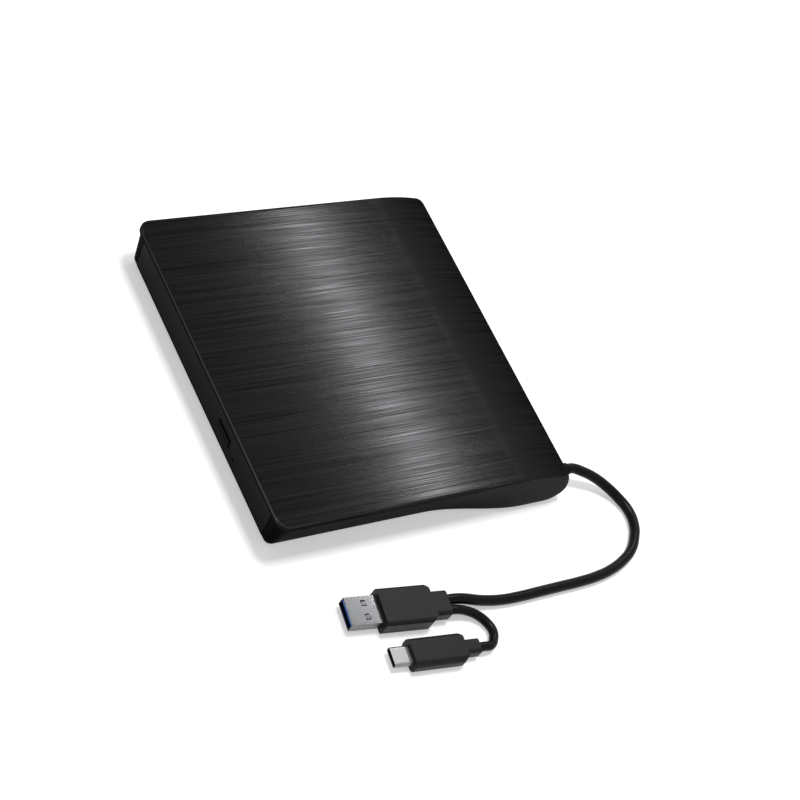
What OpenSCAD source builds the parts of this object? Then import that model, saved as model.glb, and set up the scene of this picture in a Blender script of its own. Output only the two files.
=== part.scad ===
// Slim external disc drive: a low case, a slide-out tray and a fixed lead with two plugs.
// The origin is on the table under the middle of the case. +X right, -Y front, +Z up.

/* [Disc and tray] */
// Diameter of the disc that the tray takes
disc_d = 120; // [116:1:124]
// Gap round the disc in its recess
disc_gap = 0.6; // [0.4:0.1:1]
// Width of the tray between its runners
tray_w = 114.8; // [114.4:0.2:118]
// Thickness of the tray floor
tray_floor_t = 1.4; // [1.2:0.1:1.8]
// Thickness of the tray's front wall
tray_wall = 1.8; // [1.4:0.1:2.4]
// Depth of the disc recess below the tray's rim
recess_depth = 2.8; // [2.4:0.1:3.4]
// Height of the bay under the tray floor that holds the mechanism
bay_h = 4.9; // [4.8:0.1:5.6]
// Height of the tray's runners
tongue_h = 1.2; // [0.9:0.1:1.5]

/* [Drive housing] */
// Thickness of the pan's and the lid's sheet metal
sheet_t = 0.6; // [0.4:0.1:1]
// Thickness of the shield under the tray
shield_t = 0.2; // [0.2:0.1:0.5]
// Gap between the pan and the moving tray
run_gap = 0.3; // [0.3:0.1:0.8]
// Gap between the tray's rim and the lid
lid_gap = 1.9; // [1.6:0.1:2.6]
// Thickness of the sliding rails
rail_t = 1.9; // [1.5:0.1:2.6]
// Height of the sliding rails
rail_h = 3.2; // [2.8:0.1:3.6]
// Distance from the tray's side to the rails
rail_off = 3; // [2.5:0.1:4]
// Thickness of the guides' walls
guide_t = 0.9; // [0.7:0.1:1.4]

/* [Case] */
// Thickness of the top plate
plate_t = 2; // [1.6:0.1:2.6]
// Distance from the drive's side to the plate's side
plate_side = 8.5; // [8.5:0.1:11]
// How far the plate stands out over the bezel
plate_over = 0.6; // [0.3:0.1:1.5]
// Drop of the plate's rear edge
plate_drop = 4; // [3:0.1:4.5]
// Length of the plate's rear curve
plate_curve = 26; // [20:1:34]
// Corner radius at the front of the plate
front_r = 5.5; // [3:0.5:8]
// Corner radius at the rear of the plate
rear_r = 3; // [2:0.5:5]
// Wall thickness of the lower case
wall_t = 1.8; // [1.4:0.1:2.2]
// Floor thickness of the lower case
floor_t = 1.6; // [1.4:0.1:2.4]
// How far the feet stand below the case
foot_proud = 1; // [0.6:0.1:2]
// Radius of the feet
foot_r = 5; // [3:0.5:7]
// Room between the case floor and the drive
under_room = 2.6; // [2:0.1:4]
// Room behind the drive for the bridge board and the nose
rear_room = 14.3; // [14:0.1:18]
// How far the lower case leans in at its front
front_lean = 2.2; // [1:0.1:2.6]
// How far the lower case leans in at its sides
side_lean = 4.2; // [3:0.1:4.5]
// How far the sides swell outwards in the wave near the rear
wave_out = 6.6; // [4:0.1:7.5]
// Length of the wave
wave_len = 47; // [36:1:56]
// Radius of the case's lower edge
bottom_r = 2.5; // [1.9:0.1:3]

/* [Bezel and button] */
// Depth of the bezel from its top edge to the tray
bezel_d = 5.3; // [5:0.1:6.5]
// Thickness of the bezel's skin
bezel_skin = 1.9; // [1.4:0.1:2]
// Width of the eject button
button_w = 11; // [8:0.5:14]
// Height of the eject button
button_h = 4.4; // [3.4:0.1:5]
// Distance of the eject button from the middle
button_x = 22.5; // [20:0.5:24]
// How far the eject button stands proud of the bezel
button_proud = 0.4; // [0.2:0.1:0.8]
// How far the eject button travels
button_travel = 0.6; // [0.3:0.1:0.6]
// Distance of the pin hole from the middle
pin_hole_x = 33; // [31:0.5:40]
// Radius of the pin hole
pin_hole_r = 0.7; // [0.5:0.1:0.9]

/* [Mechanism] */
// Radius of the turntable
turntable_r = 14; // [12.5:0.1:14]
// Radius of the hub's centring boss
boss_r = 7.4; // [7:0.05:7.45]
// Radius of the spindle shaft
spindle_r = 1.5; // [1:0.1:2]
// Radius of the spindle motor
motor_r = 12; // [10:0.1:12]
// Radius of the guide rods
rod_r = 1; // [0.8:0.05:1.1]
// Radius of the lead screw
screw_r = 0.9; // [0.7:0.05:1]
// Radius of the lead screw's motor
stepper_r = 1.85; // [1.5:0.05:1.9]
// Thickness of the traverse plate
traverse_t = 1; // [0.8:0.1:1.1]
// Focus travel of the lens each way
lens_travel = 0.4; // [0.2:0.1:0.5]

/* [Lead and plugs] */
// Diameter of the lead
lead_d = 4.4; // [3.6:0.1:4.6]
// Diameter of the short second lead
tail_d = 3.8; // [3:0.1:4]
// Width of the larger plug's overmould
plug_a_w = 16; // [14:0.5:18]
// Thickness of the larger plug's overmould
plug_a_h = 8.4; // [7:0.1:10]
// Length of the larger plug's overmould
plug_a_len = 23; // [18:0.5:30]
// Width of the smaller plug's overmould
plug_c_w = 12.4; // [10.5:0.1:14]
// Thickness of the smaller plug's overmould
plug_c_h = 6.6; // [5.8:0.1:8]
// Length of the smaller plug's overmould
plug_c_len = 24; // [18:0.5:30]

/* [Fits] */
// Clearance between fixed neighbours
fit_gap = 0.1; // [0.05:0.05:0.3]
// Sliding clearance of the rails
rail_gap = 0.2; // [0.15:0.05:0.3]
// Radial running clearance of shafts, pins and screws
shaft_gap = 0.05; // [0.02:0.01:0.1]
// Gap round the bezel
seam_gap = 0.4; // [0.3:0.05:0.6]
// Gap round the button
button_gap = 0.2; // [0.15:0.05:0.3]
// Gap between moving neighbours
move_gap = 0.3; // [0.3:0.05:0.5]

/* [Hidden] */
$fn = 64;
// Reach of a cut past the faces it opens
past = 1;

// Heights, from the table up
floor_z0 = foot_proud;
floor_z1 = floor_z0 + floor_t;
pan_z0 = floor_z1 + under_room;
pan_z1 = pan_z0 + sheet_t;
shield_z0 = pan_z1 + run_gap;
shield_z1 = shield_z0 + shield_t;
tray_z0 = shield_z1 + bay_h;
tray_z1 = tray_z0 + tray_floor_t;
rim_z = tray_z1 + recess_depth;
lid_z0 = rim_z + lid_gap;
lid_z1 = lid_z0 + sheet_t;
plate_z0 = lid_z1 + fit_gap;
plate_z1 = plate_z0 + plate_t;

// Half widths, from the middle out
tray_hw = tray_w / 2;
rail_x0 = tray_hw + rail_off;
rail_x1 = rail_x0 + rail_t;
guide_x1 = rail_x1 + rail_gap + guide_t;
drive_hw = guide_x1 + sheet_t;
opening_hw = drive_hw + fit_gap;
bezel_hw = opening_hw - seam_gap;
plate_hw = drive_hw + plate_side;
plate_lip = 0.5;
upper_hw = plate_hw - plate_lip;
lower_hw = plate_hw - side_lean;

// Depths, from the plate's front edge to the nose
recess_r = disc_d / 2 + disc_gap;
rear_gap = 0.8;
case_d = plate_over + bezel_d + tray_wall + 2 * recess_r + rear_gap + sheet_t + rear_room;
front_y = -case_d / 2;
nose_y = case_d / 2;
bezel_y0 = front_y + plate_over;
tray_y0 = bezel_y0 + bezel_d;
disc_y = tray_y0 + tray_wall + recess_r;
tray_y1 = disc_y + recess_r - run_gap;
pan_y0 = tray_y0 + seam_gap;
pan_y1 = disc_y + recess_r + rear_gap + sheet_t;
plate_back = 2.6;
plate_y1 = nose_y - plate_back;
curve_y = plate_y1 - plate_curve;
curve_r = (plate_curve * plate_curve + plate_drop * plate_drop) / (2 * plate_drop);

// The nose behind the case is part of an ellipse, seen from the side
nose_run = 10.5;
nose_low = 7.6;
nose_high = 11.5;
nose_z = floor_z0 + nose_low;
nose_corner = 4;
wave_y1 = nose_y - nose_run - 11;
wave_y0 = wave_y1 - wave_len;

function ease(t) = let (c = max(0, min(1, t))) c * c * (3 - 2 * c);
function wave(y) = ease((y - wave_y0) / (wave_y1 - wave_y0));
function height_share(z) = (z - floor_z0) / (plate_z0 - floor_z0);
function side_x(y, z) =
    (1 - height_share(z)) * (lower_hw + wave_out * wave(y)) + height_share(z) * upper_hw;
function face_y(z) = bezel_y0 + front_lean * (1 - height_share(z));
function edge_in(z) =
    let (h = bottom_r - (z - floor_z0)) h <= 0 ? 0 : bottom_r - sqrt(bottom_r * bottom_r - h * h);
function nose_at(z) =
    let (s = (z - nose_z) / (z < nose_z ? nose_low : nose_high))
    nose_y - nose_run + nose_run * sqrt(max(0, 1 - s * s));
function arc_points(cx, cy, r, from, to, steps) =
    [for (k = [0:steps]) let (a = from + (to - from) * k / steps) [cx + r * cos(a), cy + r * sin(a)]];

// One side of the lower case's outline at a height, front to rear
corner_steps = 4;
wave_steps = 12;
function right_outline(z) =
    let (
        e = edge_in(z),
        yf = face_y(z) + e,
        yr = nose_at(z),
        rf = max(0.5, front_r - e),
        rr = nose_corner,
        xf = side_x(yf + rf, z) - e,
        xr = side_x(yr - rr, z) - e
    )
    concat(
        arc_points(xf - rf, yf + rf, rf, -90, 0, corner_steps),
        [for (k = [0:wave_steps]) let (y = wave_y0 + wave_len * k / wave_steps) [side_x(y, z) - e, y]],
        arc_points(xr - rr, yr - rr, rr, 0, 90, corner_steps)
    );
function mirrored(points) = [for (k = [len(points) - 1:-1:0]) [-points[k].x, points[k].y]];
function case_outline(z) = let (right = right_outline(z)) concat(right, mirrored(right));
function ring_faces(rings, sides) = [
    for (k = [0:rings - 2]) for (s = [0:sides - 1])
        let (a = k * sides + s, b = k * sides + (s + 1) % sides)
        for (face = [[a, a + sides, b + sides], [a, b + sides, b]]) face
];
function end_faces(rings, sides) = let (last = (rings - 1) * sides, middle = rings * sides) concat(
    [for (s = [0:sides - 1]) [middle, s, (s + 1) % sides]],
    [for (s = [0:sides - 1]) [middle + 1, last + (s + 1) % sides, last + s]]
);

// The lower case's outer skin, with a fan of faces at each end
edge_levels = 4;
skin_levels = 7;
module case_skin(top) {
    straight_z = floor_z0 + bottom_r;
    levels = concat(
        [for (k = [0:edge_levels]) floor_z0 + bottom_r * (1 - cos(90 * k / edge_levels))],
        [for (k = [1:skin_levels]) straight_z + (top - straight_z) * k / skin_levels]
    );
    sides = len(case_outline(top));
    polyhedron(
        concat(
            [for (z = levels) for (p = case_outline(z)) [p.x, p.y, z]],
            [[0, 0, floor_z0], [0, 0, top]]
        ),
        concat(ring_faces(len(levels), sides), end_faces(len(levels), sides))
    );
}

// Shared building blocks
module slab(x0, x1, y0, y1, z0, z1) translate([x0, y0, z0]) cube([x1 - x0, y1 - y0, z1 - z0]);
module post(x, y, z0, z1, r) translate([x, y, z0]) cylinder(h = z1 - z0, r = r);
module along_x(x0, x1) translate([x0, 0, 0]) rotate([90, 0, 90]) linear_extrude(x1 - x0) children();
module along_y(x, z, y0, y1, r) translate([x, y0, z]) rotate([-90, 0, 0]) cylinder(h = y1 - y0, r = r);
module both_sides() {
    children();
    mirror([1, 0, 0]) children();
}
module rounded_plan(hw, y0, y1, r0, r1) {
    translate([-hw, y0 + r0]) square([2 * hw, y1 - y0 - r0 - r1]);
    translate([-hw + r0, y0]) square([2 * hw - 2 * r0, r0]);
    translate([-hw + r1, y1 - r1]) square([2 * hw - 2 * r1, r1]);
    for (side = [-1, 1]) {
        translate([side * (hw - r0), y0 + r0]) circle(r0);
        translate([side * (hw - r1), y1 - r1]) circle(r1);
    }
}
module rounded_bar(length, w, h, r) rotate([90, 0, 90]) linear_extrude(length) {
    translate([-w / 2 + r, 0]) square([w - 2 * r, h]);
    translate([-w / 2, r]) square([w, h - 2 * r]);
    for (side = [-1, 1]) for (level = [r, h - r]) translate([side * (w / 2 - r), level]) circle(r);
}
module screw_at(x, y, tip, seat, shank_r, head_r, head_t) {
    post(x, y, tip, seat, shank_r);
    post(x, y, seat, seat + head_t, head_r);
}

// Small screws of the boards and the drive
small_screw_r = 0.95;
small_bore_r = small_screw_r + shaft_gap;
small_head_r = 1.8;
small_head_t = 1;

// Top cover: the plate, its rear screw posts and its snap tabs
cover_post_x = drive_hw + 3.6;
cover_post_y = wave_y1;
cover_post_r = 2.3;
cover_post_z = nose_z;
snap_ys = [disc_y - 0.3 * disc_d, disc_y + 0.12 * disc_d];
snap_len = 7;
snap_t = 1;
snap_drop = 3.5;
function plate_edge(drop) = arc_points(curve_y, plate_z1 - curve_r, curve_r - drop, 90, 90 - curve_turn, 10);
curve_turn = asin(plate_curve / curve_r);
module plate_side_view(drop) polygon(concat(
    [[front_y, plate_z1 - plate_t], [front_y, plate_z1]],
    plate_edge(0),
    [for (k = [10:-1:0]) plate_edge(drop)[k]]
));
module under_plate(drop) polygon(concat(
    [[pan_y0, 0], [pan_y0, plate_z0 - drop]],
    plate_edge(plate_t + drop),
    [[plate_y1, 0]]
));
module plate_underside_cut() along_x(-2 * plate_hw, 2 * plate_hw) polygon(concat(
    [[2 * front_y, plate_z0]],
    plate_edge(plate_t),
    [[plate_y1 + past, plate_z1 - plate_drop - plate_t], [plate_y1 + past, plate_z0 + past],
     [2 * nose_y, plate_z0 + past], [2 * nose_y, 2 * plate_z1], [2 * front_y, 2 * plate_z1]]
));
module top_cover() color([0.09, 0.09, 0.1]) {
    intersection() {
        along_x(-plate_hw, plate_hw) plate_side_view(plate_t);
        linear_extrude(2 * plate_z1) rounded_plan(plate_hw, front_y, plate_y1, front_r, rear_r);
    }
    both_sides() {
        difference() {
            post(cover_post_x, cover_post_y, cover_post_z, plate_z0, cover_post_r);
            post(cover_post_x, cover_post_y, cover_post_z - past, plate_z0 - past, small_bore_r);
        }
        for (y = snap_ys)
            slab(drive_hw + fit_gap, drive_hw + fit_gap + snap_t, y, y + snap_len, plate_z0 - snap_drop, plate_z0);
    }
}

// Lower case
foot_x = drive_hw - 10;
foot_ys = [disc_y - 0.4 * disc_d, disc_y + 0.4 * disc_d];
foot_sink = 0.8;
pad_size = 8;
pad_x = drive_hw - 18;
pad_ys = [disc_y - 0.3 * disc_d, disc_y + 0.25 * disc_d];
jamb_len = 3.4;
cavity_hw = lower_hw - wall_t;
cavity_wide = upper_hw - wall_t;
cavity_y0 = tray_y0 + jamb_len;
cavity_y1 = nose_y - 7;
cavity_mid = wave_y0 + 0.85 * wave_len;
gland_lip_y = nose_y - 4.2;
nose_room = 4;
ear_x = drive_hw - 14;
ear_y = pan_y1 + 2.2;
ear_hw = 4;
ear_len = 4;
boss_wall = 1.4;
bridge_x0 = -20;
lead_socket_x1 = 46;
bridge_screw_in = [8, 16];
bridge_screw_xs = [bridge_x0 + bridge_screw_in[0], lead_socket_x1 - bridge_screw_in[1]];
bridge_screw_y = pan_y1 + 7;
bridge_z0 = pan_z1 + 0.2;
bridge_t = 1.2;
bridge_z1 = bridge_z0 + bridge_t;
lead_r = lead_d / 2;
exit_x = drive_hw + 1.5;
exit_z = nose_z;
gland_neck_r = lead_r + 0.8;
head_sink = 1.2;
module case_cavity() {
    slab(-cavity_hw, cavity_hw, cavity_y0, cavity_y1, floor_z1, 2 * plate_z1);
    slab(-cavity_wide, cavity_wide, cavity_mid, cavity_y1, floor_z1, 2 * plate_z1);
    slab(-cavity_wide, cavity_wide, cavity_mid, gland_lip_y, nose_z - nose_room, 2 * plate_z1);
    slab(-opening_hw, opening_hw, tray_y0 - past, cavity_y0 + past, floor_z1, 2 * plate_z1);
}
module case_pillars() {
    both_sides() {
        post(cover_post_x, cover_post_y, floor_z1, cover_post_z - fit_gap, cover_post_r);
        post(ear_x, ear_y, floor_z1, pan_z0, small_bore_r + boss_wall);
        for (y = pad_ys) slab(pad_x - pad_size, pad_x, y, y + pad_size, floor_z1, pan_z0);
    }
    for (x = bridge_screw_xs) post(x, bridge_screw_y, floor_z0 + floor_t, bridge_z0, small_bore_r + boss_wall);
}
module case_openings() {
    slab(-opening_hw, opening_hw, 2 * front_y, tray_y0 - seam_gap / 2, -past, 2 * plate_z1);
    both_sides() {
        for (y = foot_ys) post(foot_x, y, -past, floor_z0 + foot_sink, foot_r + shaft_gap);
        post(cover_post_x, cover_post_y, -past, cover_post_z + past, small_screw_r + 2 * shaft_gap);
        post(cover_post_x, cover_post_y, -past, floor_z0 + head_sink, small_head_r + fit_gap);
        post(ear_x, ear_y, floor_z1, pan_z0 + past, small_bore_r);
    }
    for (x = bridge_screw_xs) post(x, bridge_screw_y, floor_z1 + floor_t, bridge_z0 + past, small_bore_r);
    along_y(exit_x, exit_z, nose_y - nose_run / 2, nose_y + past, gland_neck_r + shaft_gap);
}
module bottom_case() color([0.16, 0.17, 0.19]) difference() {
    union() {
        difference() {
            case_skin(plate_z0 + past);
            case_cavity();
        }
        case_pillars();
    }
    plate_underside_cut();
    case_openings();
}
module rubber_feet() color([0.06, 0.06, 0.06]) both_sides()
    for (y = foot_ys) post(foot_x, y, 0, floor_z0 + foot_sink, foot_r);
module case_screws() color([0.6, 0.6, 0.62]) both_sides() {
    post(cover_post_x, cover_post_y, floor_z0 + head_sink, cover_post_z + 4, small_screw_r);
    post(cover_post_x, cover_post_y, floor_z0 + head_sink - small_head_t, floor_z0 + head_sink, small_head_r);
}

// Lead grommet in the nose, and the lead inside the case
gland_y0 = nose_y - 5.8;
gland_out = 3.7;
gland_y1 = nose_y + gland_out;
gland_foot_r = gland_neck_r + 0.5;
gland_tip_r = lead_r + 0.5;
lead_behind = 6;
inner_lead_y = pan_y1 + lead_behind;
module lead_grommet() color([0.07, 0.07, 0.07]) difference() {
    translate([exit_x, 0, exit_z]) rotate([-90, 0, 0]) rotate_extrude() polygon([
        [0, gland_y0], [gland_foot_r, gland_y0], [gland_foot_r, gland_lip_y], [gland_neck_r, gland_lip_y],
        [gland_neck_r, nose_y], [gland_foot_r, nose_y], [gland_tip_r, gland_y1], [0, gland_y1]
    ]);
    along_y(exit_x, exit_z, gland_y0 - past, gland_y0 + past, lead_r + shaft_gap);
}
module inner_lead() color([0.08, 0.08, 0.08]) {
    along_y(exit_x, exit_z, inner_lead_y, gland_y0 + past, lead_r);
    translate([exit_x, inner_lead_y, exit_z]) sphere(lead_r);
    translate([lead_socket_x1, inner_lead_y, exit_z]) rotate([0, 90, 0])
        cylinder(h = exit_x - lead_socket_x1, r = lead_r);
}

// Bridge board behind the drive
bridge_y0 = pan_y1 + 1.3;
bridge_d = 8;
bridge_y1 = bridge_y0 + bridge_d;
board_edge = 0.5;
chip_x = 19;
chip_w = 7;
chip_t = 1;
crystal_x = 33;
crystal_w = 4;
crystal_d = 2.5;
plug_hw = 15;
plug_len = 7;
plug_y1 = pan_y1 + 1;
plug_h = 3;
board_t = 1;
board_z0 = pan_z1 + 0.5;
board_z1 = board_z0 + board_t;
lead_socket_len = 7.5;
module bridge_board() color([0.05, 0.25, 0.14]) difference() {
    slab(bridge_x0, lead_socket_x1, bridge_y0, bridge_y1, bridge_z0, bridge_z1);
    for (x = bridge_screw_xs) post(x, bridge_screw_y, 0, 2 * bridge_z1, small_bore_r);
}
module bridge_chips() color([0.1, 0.1, 0.11]) {
    slab(chip_x, chip_x + chip_w, bridge_y0 + board_edge, bridge_y1 - board_edge, bridge_z1, bridge_z1 + chip_t);
    slab(crystal_x, crystal_x + crystal_w, bridge_y0 + board_edge, bridge_y0 + board_edge + crystal_d,
        bridge_z1, bridge_z1 + chip_t);
}
module drive_socket() color([0.12, 0.12, 0.12])
    slab(-plug_hw, plug_hw, plug_y1, bridge_screw_y - small_head_r - fit_gap, bridge_z1, board_z1 + plug_h);
module lead_socket() color([0.85, 0.83, 0.76])
    slab(lead_socket_x1 - lead_socket_len, lead_socket_x1, bridge_y0 + board_edge, bridge_y1 - board_edge,
        bridge_z1, exit_z + lead_r);
module bridge_screws() color([0.6, 0.6, 0.62]) for (x = bridge_screw_xs)
    screw_at(x, bridge_screw_y, floor_z1 + floor_t + fit_gap, bridge_z1, small_screw_r, small_head_r, small_head_t);

// Sheet-metal drive housing
module pan_walls() {
    both_sides() slab(drive_hw - sheet_t, drive_hw, pan_y0, pan_y1, pan_z0, lid_z0);
    slab(-drive_hw, drive_hw, pan_y1 - sheet_t, pan_y1, pan_z0, lid_z0);
}
module drive_pan() color([0.68, 0.69, 0.7]) difference() {
    union() {
        slab(-drive_hw, drive_hw, pan_y0, pan_y1, pan_z0, pan_z1);
        intersection() {
            pan_walls();
            along_x(-drive_hw, drive_hw) under_plate(fit_gap + sheet_t);
        }
        both_sides() slab(ear_x - ear_hw, ear_x + ear_hw, pan_y1, pan_y1 + ear_len, pan_z0, pan_z1);
        for (x = [board_x0 + 2, board_x1 - 6]) slab(x, x + 4, board_y0 + 2, board_y0 + 8, pan_z1, board_z0);
    }
    slab(-plug_hw - fit_gap, plug_hw + fit_gap, pan_y1 - past, pan_y1 + past, board_z1 - fit_gap,
        board_z1 + plug_h + fit_gap);
    both_sides() post(ear_x, ear_y, 0, plate_z0, small_bore_r + shaft_gap);
}
module drive_lid() color([0.74, 0.75, 0.76]) intersection() {
    along_x(-drive_hw, drive_hw) difference() {
        under_plate(fit_gap);
        under_plate(fit_gap + sheet_t);
    }
    slab(-drive_hw, drive_hw, pan_y0, pan_y1, 0, plate_z1);
}
module drive_screws() color([0.6, 0.6, 0.62]) both_sides()
    screw_at(ear_x, ear_y, floor_z1 + fit_gap, pan_z1, small_screw_r, small_head_r, small_head_t);

// Guides, rails and the ribbon
tongue_z = tray_z0 - 1.6;
rail_z0 = tongue_z - rail_h / 2;
rail_z1 = tongue_z + rail_h / 2;
rail_len = 0.9 * disc_d;
rail_y0 = pan_y0 + 4;
groove_depth = 0.9;
groove_gap = 0.15;
guide_in = 1;
guide_len = rail_len + 5 * guide_in;
module right_guide_form() difference() {
    slab(rail_x0 - rail_gap, guide_x1, pan_y0 + guide_in, pan_y0 + guide_in + guide_len,
        rail_z0 - rail_gap - guide_t, rail_z1 + rail_gap + guide_t);
    slab(0, guide_x1 - guide_t, pan_y0, pan_y1, rail_z0 - rail_gap, rail_z1 + rail_gap);
}
module right_rail_form() difference() {
    slab(rail_x0, rail_x1, rail_y0, rail_y0 + rail_len, rail_z0, rail_z1);
    slab(0, rail_x0 + groove_depth, pan_y0, pan_y1,
        tongue_z - tongue_h / 2 - groove_gap, tongue_z + tongue_h / 2 + groove_gap);
}
module left_guide() color([0.8, 0.8, 0.76]) mirror([1, 0, 0]) right_guide_form();
module right_guide() color([0.8, 0.8, 0.76]) right_guide_form();
module left_rail() color([0.75, 0.76, 0.78]) mirror([1, 0, 0]) right_rail_form();
module right_rail() color([0.75, 0.76, 0.78]) right_rail_form();
tray_board_x0 = 5;
tray_board_x1 = 34;
tray_board_y0 = tray_y0 + tray_wall + 0.2;
tray_board_d = 14;
tray_board_y1 = tray_board_y0 + tray_board_d;
tray_board_t = 0.8;
tray_board_z0 = tray_z0 - 2.6;
tray_board_z1 = tray_board_z0 + tray_board_t;
board_x0 = -25;
board_x1 = 35;
board_d = 13;
board_y0 = pan_y1 - sheet_t - board_d;
board_y1 = pan_y1 - sheet_t - run_gap;
ribbon_x0 = 8;
ribbon_w = 14;
ribbon_t = 0.18;
ribbon_y0 = tray_board_y1;
module connector_board() color([0.05, 0.25, 0.14]) slab(board_x0, board_x1, board_y0, board_y1, board_z0, board_z1);
module drive_plug() color([0.1, 0.1, 0.1]) slab(-plug_hw, plug_hw, plug_y1 - plug_len, plug_y1, board_z1, board_z1 + plug_h);
module ribbon() color([0.86, 0.86, 0.82]) {
    slab(ribbon_x0, ribbon_x0 + ribbon_w, ribbon_y0, board_y0, pan_z1, pan_z1 + ribbon_t);
    slab(ribbon_x0, ribbon_x0 + ribbon_w, board_y0 - ribbon_t, board_y0, pan_z1, board_z1);
    slab(ribbon_x0, ribbon_x0 + ribbon_w, ribbon_y0, ribbon_y0 + ribbon_t, pan_z1, tray_board_z1);
}

// Kick-out plunger that pushes on a lug under the tray
kick_x = 12.4 - tray_hw;
kick_r = 1.1;
kick_z = shield_z1 + 2.2;
kick_len = 18;
kick_behind = 24;
kick_y0 = tray_y1 - kick_behind;
kick_y1 = kick_y0 + kick_len;
kick_head_r = 1.8;
holder_hw = 3.4;
spring_wire = 0.4;
spring_turns = 7;
spring_r = kick_r + spring_wire / 2 + 0.25;
holder_len = 4;
holder_y0 = kick_y1 - holder_len - past;
module kick_holder() color([0.2, 0.2, 0.21]) difference() {
    slab(kick_x - holder_hw, kick_x + holder_hw, holder_y0, kick_y1 - past, pan_z1, kick_z + kick_head_r);
    along_y(kick_x, kick_z, 0, nose_y, kick_r + shaft_gap);
}
module kick_plunger() color([0.85, 0.83, 0.76]) {
    along_y(kick_x, kick_z, kick_y0, kick_y1, kick_r);
    along_y(kick_x, kick_z, kick_y0, kick_y0 + 1, kick_head_r);
}
function helix(r, y0, y1, turns) = [for (k = [0:turns * 8]) let (a = 45 * k)
    [r * cos(a), y0 + (y1 - y0) * k / (turns * 8), r * sin(a)]];
module kick_spring() color([0.7, 0.7, 0.72]) translate([kick_x, 0, kick_z])
    tube(helix(spring_r, kick_y0 + 1 + spring_wire, holder_y0 - spring_wire, spring_turns), spring_wire / 2, 6);

// Latch: a post on the pan and a lever on the tray, drawn released
latch_x = tray_hw - 7.4;
latch_y = tray_y0 + 10.4;
latch_post_r = 1.25;
latch_pivot = [latch_x - 9, latch_y - 2.6];
latch_pin_r = 1;
latch_z0 = shield_z1 + 0.7;
latch_t = 1.2;
latch_swing = 20;
latch_arm_w = 3.2;
latch_arm_len = 8.6;
latch_hook_w = 2.4;
latch_hook_len = 9.4;
latch_beak = 1;
latch_beak_len = 2;
latch_eye_r = 2.2;
magnet_x = latch_x - 23;
magnet_w = 9;
magnet_d = 7;
magnet_behind = 8;
magnet_pin_r = 0.8;
magnet_pin_len = 2.4;
module latch_post() color([0.72, 0.73, 0.75]) post(latch_x, latch_y, pan_z1, latch_z0 + latch_t + 0.6, latch_post_r);
module latch_lever() color([0.88, 0.87, 0.82]) translate([latch_pivot.x, latch_pivot.y, 0]) rotate(latch_swing)
    difference() {
        union() {
            post(0, 0, latch_z0, latch_z0 + latch_t, latch_eye_r);
            slab(-latch_arm_w / 2, latch_arm_w / 2, 0, latch_arm_len, latch_z0, latch_z0 + latch_t);
            slab(0, latch_hook_len, latch_arm_len - latch_hook_w, latch_arm_len, latch_z0, latch_z0 + latch_t);
            slab(latch_hook_len - latch_beak, latch_hook_len, latch_arm_len - latch_hook_w - latch_beak_len,
                latch_arm_len - latch_hook_w / 2, latch_z0, latch_z0 + latch_t);
        }
        post(0, 0, latch_z0 - past, latch_z0 + latch_t + past, latch_pin_r + shaft_gap);
    }
module latch_pin() color([0.72, 0.73, 0.75]) {
    post(latch_pivot.x, latch_pivot.y, latch_z0 - 0.4, tray_z0, latch_pin_r);
    post(latch_pivot.x, latch_pivot.y, shield_z1, latch_z0 - shaft_gap, small_head_r);
}
module release_magnet() color([0.45, 0.2, 0.12]) {
    slab(magnet_x, magnet_x + magnet_w, latch_y + magnet_behind, latch_y + magnet_behind + magnet_d,
        shield_z1 + past, tray_z0);
    along_y(magnet_x + magnet_w / 2, tray_z0 - bay_h / 2, latch_y + magnet_behind - magnet_pin_len,
        latch_y + magnet_behind, magnet_pin_r);
}

// Tray with its disc recess, runners and window
skirt_t = 2;
skirt_z0 = tongue_z - 2;
tongue_y0 = rail_y0 + 2;
tongue_y1 = tray_y1 - 4.3;
front_wall_z0 = shield_z1 + 0.2;
shield_post_x = tray_hw - 4.4;
shield_post_ys = [tray_y0 + 6.4, disc_y + 0.25 * disc_d];
shield_post_r = 1.6;
window_hw = 12.4;
side_v = 17.5;
arm_end = min(disc_d / 2, sqrt(2) * (tray_hw - skirt_t - move_gap) - side_v);
window_end = arm_end + 1;
kick_lug_t = 2;
board_screw_xs = [tray_board_x0 + 3, tray_board_x1 - 3];
board_screw_y = tray_board_y1 - 5;
button_z = tray_z0 - 1.1;
plunger_hw = 1.6;
plunger_hh = 0.6;
plunger_z = button_z + 0.2;
light_x = 12;
light_r = 0.8;
light_z = tray_z0 - 1;
module in_traverse() translate([0, disc_y, 0]) rotate(traverse_yaw) children();
module tray_blank() {
    slab(-tray_hw, tray_hw, tray_y0, tray_y1, tray_z0, rim_z);
    slab(-tray_hw, tray_hw, tray_y0, tray_y0 + tray_wall, front_wall_z0, rim_z);
    both_sides() {
        slab(tray_hw - skirt_t, tray_hw, tray_y0, tongue_y1, skirt_z0, tray_z1);
        slab(tray_hw - skirt_t, rail_x0 + groove_depth - rail_gap, tongue_y0, tongue_y1,
            tongue_z - tongue_h / 2, tongue_z + tongue_h / 2);
        for (y = shield_post_ys) post(shield_post_x, y, shield_z1, tray_z1, shield_post_r);
    }
    for (x = board_screw_xs) post(x, board_screw_y, tray_board_z1, tray_z1, small_bore_r + boss_wall);
    slab(kick_x - kick_head_r, kick_x + kick_head_r, kick_y0 - kick_lug_t - move_gap, kick_y0 - move_gap,
        kick_z - kick_head_r, tray_z1);
}
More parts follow.
